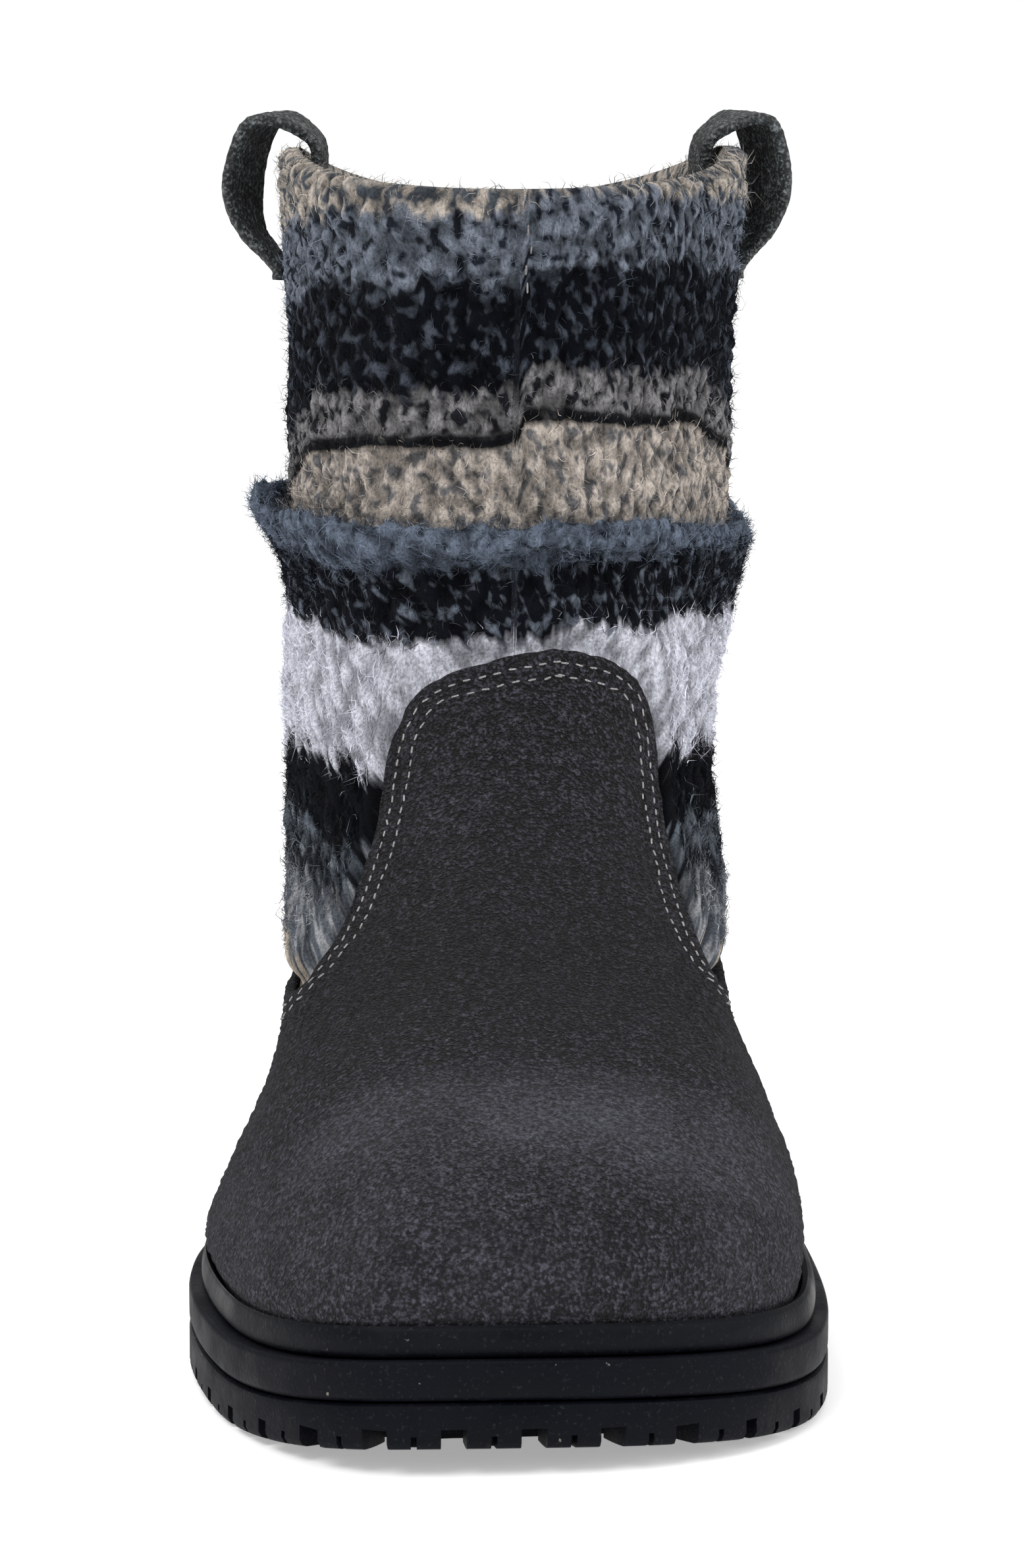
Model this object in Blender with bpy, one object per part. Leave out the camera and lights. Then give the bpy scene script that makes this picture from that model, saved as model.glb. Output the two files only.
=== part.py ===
"""A left ankle boot: a suede upper on a welted lug sole, with a slouched knit shaft and two pull loops.

Metres, +Z up. The toe points to -Y and the outer side of the foot is +X. The whole boot's box is centred on
the origin, and the heel and the ball of the sole stand on Z = 0.
"""

import math

import bmesh
import bpy
import numpy as np

# Sole sizes
SOLE_LENGTH = 0.280
BALL_WIDTH = 0.104
HEEL_WIDTH = 0.077
HEEL_SWING = 0.006  # how far the heel's centre line lies outside the ball's
OUTSOLE_HEIGHT = 0.0075  # at the ball
MIDSOLE_HEIGHT = 0.0065
HEEL_RAISE = 0.014  # how much higher the foot's heel is than its ball
TOE_SPRING = 0.0043
ARCH_HEIGHT = 0.0105
ARCH_RAKE = 0.006
TREAD_DEPTH = 0.0035
SIDE_NOTCH = 0.0023
TOE_NOTCH = 0.0040
NOTCH_PITCH = 0.0122
LUG_LENGTH = 0.0125
TREAD_GROOVE = 0.0034
SOLE_EDGE_ROUND = 0.0012
MIDSOLE_EDGE_ROUND = 0.0008

# Welt sizes
WELT_LEDGE = 0.0022  # the strip of midsole that shows outside the welt
WELT_THICKNESS = 0.0036
WELT_TOP = 0.053  # share of the instep's height above the midsole

# Upper and shaft sizes
SUEDE = 0.0021
INSOLE_HEIGHT = 0.0040
INSTEP_HEIGHT = 0.1075  # the top of the suede at the front, above the floor
SHAFT_WIDTH = 0.081
SHAFT_DEPTH = 0.116
SHAFT_SET = 0.012  # how far the shaft's back stands in front of the heel's
SHAFT_SIDE_SHIFT = 0.0021
COLLAR_HEIGHT = 0.1915  # at the sides
FRONT_DIP = 0.0032
BACK_DIP = 0.0120
KNIT = 0.0034
COLLAR_HEM = 0.0048
KNIT_PUFF = 0.0016
ARCH_TURN = 0.015  # how far round to the outer side the middle of the suede's arch stands
SEAM_LAP = 0.0040
STEEPEST_SEAM = 2.0  # the most that a step up from the suede's edge is stretched where the edge is steep
FOLD_HEIGHT = 0.1262
FOLD_TILT = 0.0030  # how much higher the lip is on the inner side, and lower on the outer
FOLD_REACH = 0.0060
FOLD_LEAN = 0.22  # the share by which the lip stands out further on the inner side
FOLD_DEPTH = 0.0075

# Pull loop sizes
LOOP_WIDTH = 0.0175
LOOP_THICKNESS = 0.0022
LOOP_RISE = 0.0073
INNER_LOOP_REACH = 0.0102
OUTER_LOOP_REACH = 0.0085
LOOP_LEG_OUTSIDE = 0.0235
LOOP_LEG_INSIDE = 0.0150
LOOP_END = 0.0050
LOOP_PLACE = 0.280  # share of the way round the shaft from the front

GAP = 0.0003

COLUMNS = 70
COLUMN_LEAN = 0.030  # how far round the columns beside the arch lean from their foot to their top
FRONT_CROWDING = 0.40  # how much closer the columns stand at the toe than at the heel
SIDE_CROWDING = 0.12  # and beside the suede's arch

# The sole's outline from the toe tip round by the outer side: across as a share of the local width,
# along as a share of the length.
OUTLINE = (
    ("toe tip", -0.159, -0.500),
    ("outer toe", 0.096, -0.495),
    ("outer toe", 0.246, -0.478),
    ("outer toe", 0.358, -0.451),
    ("outer toe corner", 0.437, -0.412),
    ("outer toe", 0.484, -0.360),
    ("outer ball", 0.500, -0.272),
    ("outer ball", 0.491, -0.130),
    ("outer waist", 0.462, 0.030),
    ("outer waist", 0.470, 0.160),
    ("outer heel", 0.500, 0.300),
    ("outer heel", 0.447, 0.412),
    ("outer heel corner", 0.262, 0.482),
    ("heel back", 0.000, 0.500),
    ("inner heel corner", -0.262, 0.482),
    ("inner heel", -0.447, 0.412),
    ("inner heel", -0.500, 0.300),
    ("inner waist", -0.436, 0.165),
    ("inner waist", -0.384, 0.050),
    ("inner waist", -0.412, -0.060),
    ("inner ball", -0.480, -0.155),
    ("inner ball", -0.500, -0.239),
    ("inner ball", -0.489, -0.306),
    ("inner toe", -0.454, -0.370),
    ("inner toe corner", -0.400, -0.424),
    ("inner toe", -0.330, -0.465),
    ("inner toe", -0.248, -0.491),
)

# The upper's sections. Height runs from the sole (0) to the top of the suede (1) and the collar (2). Front,
# back and oval run from the foot's (0) to the shaft's (1). Inner and outer say how much further out each side
# stands than an even blend of foot and shaft, as shares of the shaft's width.
SECTIONS = np.array(
    [
        # height, front, back, inner, outer, oval
        (0.00, 0.000, 0.00, 0.000, 0.000, 0.00),
        (0.08, -0.014, -0.12, 0.036, 0.022, 0.00),
        (0.17, -0.002, -0.20, 0.006, 0.020, 0.02),
        (0.26, 0.035, -0.22, -0.030, -0.008, 0.08),
        (0.335, 0.100, -0.20, -0.042, -0.043, 0.20),
        (0.40, 0.210, -0.10, -0.033, -0.068, 0.36),
        (0.48, 0.405, 0.05, -0.008, -0.064, 0.58),
        (0.58, 0.615, 0.25, -0.006, -0.060, 0.80),
        (0.70, 0.780, 0.48, -0.008, -0.063, 0.95),
        (0.84, 0.915, 0.75, 0.005, -0.042, 1.00),
        (1.00, 1.000, 1.00, -0.004, -0.012, 1.00),
        (1.25, 1.035, 1.10, -0.003, -0.002, 1.00),
        (1.60, 1.030, 1.05, 0.001, 0.010, 1.00),
        (2.00, 1.000, 0.90, 0.012, 0.040, 1.00),
        (2.20, 0.980, 0.86, 0.014, 0.046, 1.00),
    ]
)

# The suede's top edge: the way round from the arch's middle (0) to the back (0.5), and its height in the sections.
SUEDE_EDGE = np.array(
    [
        # round, height
        (0.000, 1.000),
        (0.014, 0.988),
        (0.027, 0.970),
        (0.041, 0.940),
        (0.054, 0.898),
        (0.064, 0.850),
        (0.073, 0.800),
        (0.083, 0.740),
        (0.094, 0.680),
        (0.106, 0.620),
        (0.118, 0.560),
        (0.132, 0.505),
        (0.150, 0.460),
        (0.178, 0.432),
        (0.220, 0.434),
        (0.280, 0.490),
        (0.350, 0.590),
        (0.420, 0.690),
        (0.500, 0.730),
    ]
)

# The knit's outer face above the suede: level runs from the suede's edge (0) to the fold's lip (1).
KNIT_PUFFS = ((0.17, 0.80), (0.42, 1.00), (0.68, 0.80), (0.86, 1.35))

# The fold's profile: out as a share of its reach, down from its lip as a share of its depth.
FOLD = (("under the lip", 0.92, 0.72), ("brow", 1.00, 0.30), ("lip", 0.80, 0.00), ("inside the lip", 0.46, 0.30),
        ("valley", 0.22, 1.00), ("foot of the upper tube", 0.02, 0.72))

# Levels of the upper tube, from the fold's valley (0) to the collar (1), and how far out as a share of the puff.
TUBE_PUFFS = ((0.22, 0.30), (0.50, 0.10), (0.76, 0.15), (0.93, 0.30))

MATERIALS = {
    # colour, roughness
    "suede": ((0.052, 0.053, 0.056), 0.95),
    "knit": ((0.150, 0.155, 0.165), 1.00),
    "rubber": ((0.014, 0.015, 0.018), 0.62),
    "insole": ((0.090, 0.090, 0.095), 0.95),
    "loop": ((0.045, 0.050, 0.053), 0.92),
}


def clear_scene():
    for obj in list(bpy.data.objects):
        bpy.data.objects.remove(obj)


def material(name):
    colour, roughness = MATERIALS[name]
    made = bpy.data.materials.get(name) or bpy.data.materials.new(name)
    made.use_nodes = True
    shader = made.node_tree.nodes["Principled BSDF"]
    shader.inputs["Base Color"].default_value = (*colour, 1)
    shader.inputs["Roughness"].default_value = roughness
    shader.inputs["Metallic"].default_value = 0
    return made


def mesh_object(name, points, faces, finish=None):
    """A closed mesh, facing out. With no finish it is a cutter."""
    shape = bmesh.new()
    corners = [shape.verts.new(p) for p in points]
    for face in faces:
        shape.faces.new([corners[i] for i in face])
    bmesh.ops.recalc_face_normals(shape, faces=shape.faces)
    mesh = bpy.data.meshes.new(name)
    shape.to_mesh(mesh)
    shape.free()
    obj = bpy.data.objects.new(name, mesh)
    bpy.context.collection.objects.link(obj)
    if finish:
        mesh.materials.append(material(finish))
        mesh.shade_smooth()
        mesh.set_sharp_from_angle(angle=math.radians(42))
    else:
        obj.hide_render = True
        obj.display_type = "WIRE"
    return obj


def ring_faces(rows, columns, joined, turn=None):
    """Quads between closed rings; joined also ties the last ring to the first.

    From the turn on the rings run back down, and each quad starts one corner on, so that the inner faces of
    one piece fold along the same diagonals as the outer faces of the piece inside it.
    """
    faces = []
    for i in range(rows if joined else rows - 1):
        lower, upper = i * columns, (i + 1) % rows * columns
        for j in range(columns):
            k = (j + 1) % columns
            face = (lower + j, lower + k, upper + k, upper + j)
            faces.append(face if turn is None or i < turn else face[1:] + face[:1])
    return faces


def ladder_faces(start, columns):
    """A cap across one closed ring, each column tied to the one across from it."""
    half = columns // 2
    faces = [(start, start + 1, start + columns - 1)]
    faces += [(start + j, start + j + 1, start + columns - j - 1, start + columns - j) for j in range(1, half - 1)]
    faces.append((start + half - 1, start + half, start + half + 1))
    return faces


def shell(name, outer, inner, finish):
    """A solid whose closed rings run up its outer face and down its inner one."""
    rings = outer + inner
    faces = ring_faces(len(rings), len(rings[0]), True, len(outer))
    return mesh_object(name, np.concatenate(rings), faces, finish)


def plate(name, rings, finish):
    """A solid capped at its first and last ring."""
    count = len(rings[0])
    points = np.concatenate(rings)
    faces = ring_faces(len(rings), count, False)
    faces += ladder_faces(0, count) + ladder_faces((len(rings) - 1) * count, count)
    return mesh_object(name, points, faces, finish)


def smooth_step(value, start, end):
    t = np.clip((value - start) / (end - start), 0, 1)
    return t * t * (3 - 2 * t)


def spline(points, closed, per_span=24):
    """A smooth curve through every point, sampled evenly in each span."""
    points = np.asarray(points, float)
    count = len(points)
    spans = count if closed else count - 1
    if closed:
        padded = np.concatenate([points[-1:], points, points[:2]])
    else:
        padded = np.concatenate([2 * points[:1] - points[1:2], points, 2 * points[-1:] - points[-2:-1]])
    t = (np.arange(per_span) / per_span)[:, None]
    pieces = []
    for i in range(spans):
        a, b, c, d = padded[i : i + 4]
        pieces.append(
            0.5 * (2 * b + (c - a) * t + (2 * a - 5 * b + 4 * c - d) * t**2 + (3 * b - a - 3 * c + d) * t**3)
        )
    if not closed:
        pieces.append(points[-1:])
    return np.concatenate(pieces)


def along(curve, shares):
    """Points of a closed curve at these shares of its length."""
    ring = np.concatenate([curve, curve[:1]])
    length = np.concatenate([[0], np.cumsum(np.linalg.norm(np.diff(ring, axis=0), axis=1))])
    at = np.mod(shares, 1) * length[-1]
    return np.column_stack([np.interp(at, length, ring[:, i]) for i in range(2)])


def inset(curve, distance):
    """A closed curve in plan moved inwards."""
    tangent = np.roll(curve, -1, axis=0) - np.roll(curve, 1, axis=0)
    tangent /= np.linalg.norm(tangent, axis=1)[:, None]
    return curve + np.column_stack([-tangent[:, 1], tangent[:, 0]]) * np.reshape(distance, (-1, 1))


def column_shares():
    """Where the columns stand, as shares of the way round from the toe tip."""
    even = np.arange(COLUMNS) / COLUMNS
    forward = FRONT_CROWDING * np.sin(2 * math.pi * even) / (2 * math.pi)
    return even - forward + SIDE_CROWDING * np.sin(4 * math.pi * even) / (4 * math.pi)


def sole_outline():
    rows = np.array([row[1:] for row in OUTLINE])
    heelward = smooth_step(rows[:, 1], -0.22, 0.30)
    across = rows[:, 0] * (BALL_WIDTH + (HEEL_WIDTH - BALL_WIDTH) * heelward) + HEEL_SWING * heelward
    curve = spline(np.column_stack([across, rows[:, 1] * SOLE_LENGTH]), True)
    return curve - (curve.max(axis=0) + curve.min(axis=0)) / 2


def toe_lift(y):
    """How far the toe spring raises the sole at y."""
    start = -0.37 * SOLE_LENGTH
    ahead = np.clip((start - y) / (start + 0.5 * SOLE_LENGTH), 0, None)
    return TOE_SPRING * ahead**1.9


def deck(y):
    """The height of the midsole's top at y."""
    heel = HEEL_RAISE * smooth_step(y, -0.10 * SOLE_LENGTH, 0.22 * SOLE_LENGTH)
    return OUTSOLE_HEIGHT + GAP + MIDSOLE_HEIGHT + toe_lift(y) + heel


SOLE = sole_outline()
FEATHER_INSET = WELT_LEDGE + WELT_THICKNESS + GAP
FEATHER = inset(SOLE, FEATHER_INSET)
SECTION_CURVE = spline(SECTIONS, False)
EDGE_CURVE = spline(SUEDE_EDGE, False)


def oval():
    """The shaft's section in a box from -1 to 1, starting at the front and turning to the outer side."""
    angle = np.arange(720) / 720 * 2 * math.pi
    squareness = np.where(np.cos(angle) > 0, 2.05, 2.35)
    x = np.sign(np.sin(angle)) * np.abs(np.sin(angle)) ** (2 / squareness)
    y = -np.sign(np.cos(angle)) * np.abs(np.cos(angle)) ** (2 / squareness)
    return np.column_stack([x * SHAFT_WIDTH / 2, y * SHAFT_DEPTH / 2])


OVAL = oval()


def boxed(curve, points):
    low, high = curve.min(axis=0), curve.max(axis=0)
    return (points - (low + high) / 2) / ((high - low) / 2)


def leaned(around, height):
    """Share of the way round at this height of a column that starts at around and leans across the arch's side."""
    from_front = (around + 0.5) % 1 - 0.5
    beside = from_front / 0.11
    beside = beside * np.exp((1 - beside**2) / 2)
    return around + COLUMN_LEAN * beside * np.tanh((height - 0.65) / 0.2) * smooth_step(height, 0.08, 0.45)


def form(around, height):
    """The upper's outer face: around is a share of the way round, height as in the sections."""
    around, height = np.broadcast_arrays(np.asarray(around, float), np.asarray(height, float))
    around = leaned(around, height)
    front, back, inner, outer, ovalness = (
        np.interp(height, SECTION_CURVE[:, 0], SECTION_CURVE[:, i]) for i in range(1, 6)
    )
    foot = boxed(FEATHER, along(FEATHER, around))
    leg = boxed(OVAL, along(OVAL, around))
    shape = foot * (1 - ovalness)[:, None] + leg * ovalness[:, None]
    low, high = FEATHER.min(axis=0), FEATHER.max(axis=0)
    shaft_back = high[1] - SHAFT_SET
    shaft_front = shaft_back - SHAFT_DEPTH
    shaft_middle = HEEL_SWING / 2 + SHAFT_SIDE_SHIFT
    left = low[0] + ovalness * (shaft_middle - SHAFT_WIDTH / 2 - low[0]) - inner * SHAFT_WIDTH
    right = high[0] + ovalness * (shaft_middle + SHAFT_WIDTH / 2 - high[0]) + outer * SHAFT_WIDTH
    toe = low[1] + front * (shaft_front - low[1])
    heel = high[1] + back * (shaft_back - high[1])
    x = (left + right) / 2 + shape[:, 0] * (right - left) / 2
    y = (toe + heel) / 2 + shape[:, 1] * (heel - toe) / 2
    foot_z = deck(y) + GAP + height * (INSTEP_HEIGHT - deck(y) - GAP)
    leg_z = INSTEP_HEIGHT + (height - 1) * (COLLAR_HEIGHT - INSTEP_HEIGHT)
    return np.column_stack([x, y, np.where(height < 1, foot_z, leg_z)])


def outward(around, height):
    """Unit vectors square to the form's face, pointing out."""
    step = 0.004
    round_way = form(around + step, height) - form(around - step, height)
    up_way = form(around, np.clip(height + step, 0, 2.2)) - form(around, np.clip(height - step, 0, 2.2))
    normal = np.cross(round_way, up_way)
    return normal / np.linalg.norm(normal, axis=1)[:, None]


def height_of(z, y):
    """The section height of a point at z, where the sole's deck is that of y."""
    low = deck(y) + GAP
    return np.where(
        z < INSTEP_HEIGHT,
        (z - low) / (INSTEP_HEIGHT - low),
        1 + (z - INSTEP_HEIGHT) / (COLLAR_HEIGHT - INSTEP_HEIGHT),
    )


def suede_edge(around):
    """The height of the suede's top edge."""
    turned = around - ARCH_TURN * np.cos(math.pi * around) ** 2
    from_front = np.abs((turned + 0.5) % 1 - 0.5)
    return np.interp(from_front, EDGE_CURVE[:, 0], EDGE_CURVE[:, 1])


def edge_stretch(around):
    """How much longer a step straight up from the suede's edge is than the same step square to the edge."""
    step = 0.004
    behind, ahead = (form(around + s, suede_edge(around + s)) for s in (-step, step))
    run = np.linalg.norm(ahead[:, :2] - behind[:, :2], axis=1)
    return np.minimum(np.hypot(1, (ahead[:, 2] - behind[:, 2]) / run), STEEPEST_SEAM)


def lap_height(around):
    """The height of the knit's bottom edge, under the suede."""
    here = form(around, suede_edge(around))
    return height_of(here[:, 2] - SEAM_LAP * edge_stretch(around), here[:, 1])


def outsole():
    """The tread layer, cut by the arch, a groove round its lugs, notches in its rim and bars across its middle."""
    columns = along(SOLE, column_shares())
    top = deck(columns[:, 1]) - MIDSOLE_HEIGHT - GAP
    bottom = toe_lift(columns[:, 1])
    rings = []
    for inwards, z in (
        (1.3 * SOLE_EDGE_ROUND, bottom),
        (0, bottom + 1.2 * SOLE_EDGE_ROUND),
        (0, top - 0.6 * SOLE_EDGE_ROUND),
        (0.6 * SOLE_EDGE_ROUND, top),
    ):
        rings.append(np.column_stack([inset(columns, inwards), z]))
    body = plate("outsole", rings, "rubber")
    for cutter in (arch_cutter(), groove_cutter(columns), notch_cutter(), bar_cutter()):
        cut = body.modifiers.new(cutter.name, "BOOLEAN")
        cut.operation = "DIFFERENCE"
        cut.object = cutter
    return body


def arch_profile():
    """The arch in side view, as points of y and z from the forefoot to the heel's breast."""
    front, back = -0.045 * SOLE_LENGTH, 0.235 * SOLE_LENGTH
    span = back - ARCH_RAKE - front
    rise = [(front + span * s, ARCH_HEIGHT * (1.15 * math.sin(math.pi / 2 * min(1, s / 0.48)) ** 1.2 - 0.15))
            for s in (0.0, 0.12, 0.24, 0.36, 0.48, 0.85)]
    return rise + [(back - ARCH_RAKE, 0.92 * ARCH_HEIGHT), (back, -0.5 * ARCH_HEIGHT), (front, -0.5 * ARCH_HEIGHT)]


def arch_cutter():
    profile = arch_profile()
    count = len(profile)
    points = [(side * BALL_WIDTH, y, z) for side in (-1, 1) for y, z in profile]
    faces = [tuple(range(count)), tuple(range(count, 2 * count))]
    faces += [(i, (i + 1) % count, count + (i + 1) % count, count + i) for i in range(count)]
    return mesh_object("arch_cutter", points, faces)


def groove_cutter(columns):
    """A closed band that parts the rim lugs from the middle ones."""
    outer, inner = inset(columns, LUG_LENGTH), inset(columns, LUG_LENGTH + TREAD_GROOVE)
    rings = []
    for edge, level in ((outer, -1), (outer, 1), (inner, 1), (inner, -1)):
        rings.append(np.column_stack([edge, toe_lift(edge[:, 1]) + level * 1.1 * TREAD_DEPTH]))
    return mesh_object("groove_cutter", np.concatenate(rings), ring_faces(4, COLUMNS, True))


def box_points(middle, ahead, across, length, width, top, bottom):
    """The corners of a box in plan: ahead and across are unit vectors."""
    corners = []
    for z in (bottom, top):
        for a, b in ((-1, -1), (1, -1), (1, 1), (-1, 1)):
            x, y = middle + ahead * a * length / 2 + across * b * width / 2
            corners.append((x, y, z))
    return corners


BOX_FACES = ((0, 3, 2, 1), (4, 5, 6, 7), (0, 1, 5, 4), (1, 2, 6, 5), (2, 3, 7, 6), (3, 0, 4, 7))


def boxes_object(name, boxes):
    points = [corner for box in boxes for corner in box]
    faces = [tuple(8 * n + i for i in face) for n in range(len(boxes)) for face in BOX_FACES]
    return mesh_object(name, points, faces)


def notch_cutter():
    """Notches in through the rim at a steady pitch, wide at the toe and narrow at the sides."""
    length = np.linalg.norm(np.diff(np.concatenate([SOLE, SOLE[:1]]), axis=0), axis=1).sum()
    count = 2 * round(length / NOTCH_PITCH / 2)
    arch_front, arch_back = -0.055 * SOLE_LENGTH, 0.245 * SOLE_LENGTH
    boxes = []
    for i in range(count):
        share = (i + 0.5) / count
        here, ahead = along(SOLE, np.array([share, share + 0.002]))
        if arch_front < here[1] < arch_back:
            continue
        tangent = (ahead - here) / np.linalg.norm(ahead - here)
        inwards = np.array([-tangent[1], tangent[0]])
        width = TOE_NOTCH if here[1] < -0.46 * SOLE_LENGTH else SIDE_NOTCH
        reach = TREAD_DEPTH + LUG_LENGTH + TREAD_GROOVE / 2
        middle = here + inwards * (reach / 2 - TREAD_DEPTH)
        low = toe_lift(here[1])
        boxes.append(box_points(middle, inwards, tangent, reach, width, low + TREAD_DEPTH, -TREAD_DEPTH))
    return boxes_object("notch_cutter", boxes)


def bar_cutter():
    """Grooves straight across the middle lugs of the forefoot and of the heel."""
    pitch = 1.15 * NOTCH_PITCH
    inside = LUG_LENGTH + TREAD_GROOVE / 2
    ways = ((-0.5 * SOLE_LENGTH + inside, -0.06 * SOLE_LENGTH), (0.25 * SOLE_LENGTH, 0.5 * SOLE_LENGTH - inside))
    core = inset(SOLE, inside)
    boxes = []
    for start, end in ways:
        count = round((end - start) / pitch)
        for i in range(1, count):
            y = start + (end - start) * i / count
            near = core[np.abs(core[:, 1] - y) < 0.02 * SOLE_LENGTH]
            left, right = near[:, 0].min(), near[:, 0].max()
            middle = np.array([(left + right) / 2, y])
            low = toe_lift(y)
            boxes.append(box_points(middle, np.array([1, 0]), np.array([0, 1]), right - left, 0.75 * TREAD_GROOVE,
                                    low + 0.9 * TREAD_DEPTH, -TREAD_DEPTH))
    return boxes_object("bar_cutter", boxes)


def midsole():
    columns = along(SOLE, column_shares())
    top = deck(columns[:, 1])
    bottom = top - MIDSOLE_HEIGHT
    edge = MIDSOLE_EDGE_ROUND
    rings = []
    for inwards, z in ((1.4 * edge, bottom), (0.2 * edge, bottom + edge), (0, bottom + 2 * edge), (0, top - edge),
                       (0.35 * edge, top - 0.3 * edge), (1.1 * edge, top)):
        rings.append(np.column_stack([inset(columns, inwards), z]))
    seat = inset(columns, FEATHER_INSET + 2 * SUEDE)
    rings.append(np.column_stack([seat, deck(seat[:, 1])]))
    return plate("midsole", rings, "rubber")


def welt():
    """A rounded rubber strip on the midsole that holds the suede's bottom edge all round."""
    around = column_shares()
    foot = form(around, 0)
    top = form(around, WELT_TOP)
    lying = outward(around, WELT_TOP)[:, :2]
    lying /= np.linalg.norm(lying, axis=1)[:, None]
    inner_foot = foot[:, :2] + lying * 1.3 * GAP
    inner_top = top[:, :2] + lying * 1.6 * GAP
    rim = inset(along(SOLE, around), WELT_LEDGE)
    height = top[:, 2] - foot[:, 2]
    outer = []
    for reach, rise in ((0.92, 0.0), (1.03, 0.24), (1.01, 0.58), (0.80, 0.86), (0.42, 1.0)):
        base = inner_foot + (inner_top - inner_foot) * rise
        ring = base + (rim - base) * reach
        outer.append(np.column_stack([ring, deck(ring[:, 1]) + 1.3 * GAP + rise * height]))
    inner = [np.column_stack([inner_top, foot[:, 2] + 0.97 * height])]
    inner.append(np.column_stack([inner_foot, deck(inner_foot[:, 1]) + 1.3 * GAP]))
    return shell("welt", outer, inner, "rubber")


def insole():
    around = column_shares()
    rim = inset(along(FEATHER, around), SUEDE + 2 * GAP)
    floor = deck(rim[:, 1]) + 2 * GAP
    soft = 0.3 * INSOLE_HEIGHT
    rings = [np.column_stack([rim, floor]), np.column_stack([rim, floor + INSOLE_HEIGHT - soft]),
             np.column_stack([inset(rim, soft), floor + INSOLE_HEIGHT])]
    return plate("insole", rings, "insole")


def suede_upper():
    """Vamp and counter in one: the form from the sole to the arched edge, and the same face a wall further in."""
    around = column_shares()
    edge = suede_edge(around)
    lap = lap_height(around)
    outer = [form(around, 0)]
    outer += [form(around, WELT_TOP + (lap - WELT_TOP) * s) for s in (0, 0.11, 0.23, 0.35, 0.47, 0.60, 0.73, 0.87)]
    outer += [form(around, lap), form(around, edge)]
    inner = [form(around, h) - outward(around, h) * SUEDE for h in (edge, lap)]
    for share in (0.84, 0.66, 0.46, 0.27, 0.10):
        height = WELT_TOP + (lap - WELT_TOP) * share
        inner.append(form(around, height) - outward(around, height) * SUEDE)
    foot = form(around, 0)
    rim = inset(foot[:, :2], SUEDE)
    inner.append(np.column_stack([rim, deck(rim[:, 1]) + GAP]))
    return shell("suede_upper", outer, inner, "suede")


def fold_lip(around):
    """The height of the fold's lip above the floor: it hangs lower on the outer side."""
    return FOLD_HEIGHT - FOLD_TILT * np.sin(2 * math.pi * around)


def collar_height(around):
    """The height of the collar above the floor: it dips in front, and further behind."""
    forward = np.cos(2 * math.pi * around)
    return COLLAR_HEIGHT - np.where(forward > 0, FRONT_DIP, BACK_DIP) * forward**2


def knit_shaft():
    """A tube from under the suede's edge, out over it to the fold's lip, down inside the fold and up to the collar."""
    around = column_shares()
    edge = suede_edge(around)
    lap = lap_height(around)
    edge_z = form(around, edge)[:, 2]
    lip = fold_lip(around)
    valley = lip - FOLD_DEPTH
    rim = collar_height(around)
    deck_y = form(around, edge)[:, 1]

    def outside(z, out):
        height = height_of(z, deck_y)
        return form(around, height) + outward(around, height) * np.reshape(out, (-1, 1))

    tucked = -(SUEDE + 2 * GAP)
    outer = [form(around, h) + outward(around, h) * tucked for h in (lap, edge)]
    clear = edge_z + 0.8 * SUEDE * edge_stretch(around)
    step = edge_z + 2 * SUEDE * edge_stretch(around)
    outer += [outside(clear, tucked), outside(step, 0.35 * KNIT_PUFF)]
    under_lip = lip - FOLD[0][2] * FOLD_DEPTH
    for level, puff in KNIT_PUFFS:
        outer.append(outside(step + level * (under_lip - step), puff * KNIT_PUFF))
    reach = FOLD_REACH * (1 - FOLD_LEAN * np.sin(2 * math.pi * around))
    for _, out, down in FOLD:
        outer.append(outside(lip - down * FOLD_DEPTH, out * reach))
    for level, puff in TUBE_PUFFS:
        outer.append(outside(valley + level * (rim - valley), puff * KNIT_PUFF))
    outer.append(outside(rim - 0.25 * COLLAR_HEM, -0.02 * COLLAR_HEM))
    outer.append(outside(rim, -0.33 * COLLAR_HEM))
    inner = [outside(rim, -0.72 * COLLAR_HEM), outside(rim - 0.28 * COLLAR_HEM, -COLLAR_HEM),
             outside(rim - 2.2 * COLLAR_HEM, -COLLAR_HEM)]
    inner += [outside(rim - level * (rim - edge_z), -KNIT) for level in (0.30, 0.52, 0.76)]
    inner += [form(around, h) + outward(around, h) * (tucked - KNIT) for h in (edge, lap)]
    return shell("knit_shaft", outer, inner, "knit")


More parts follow.
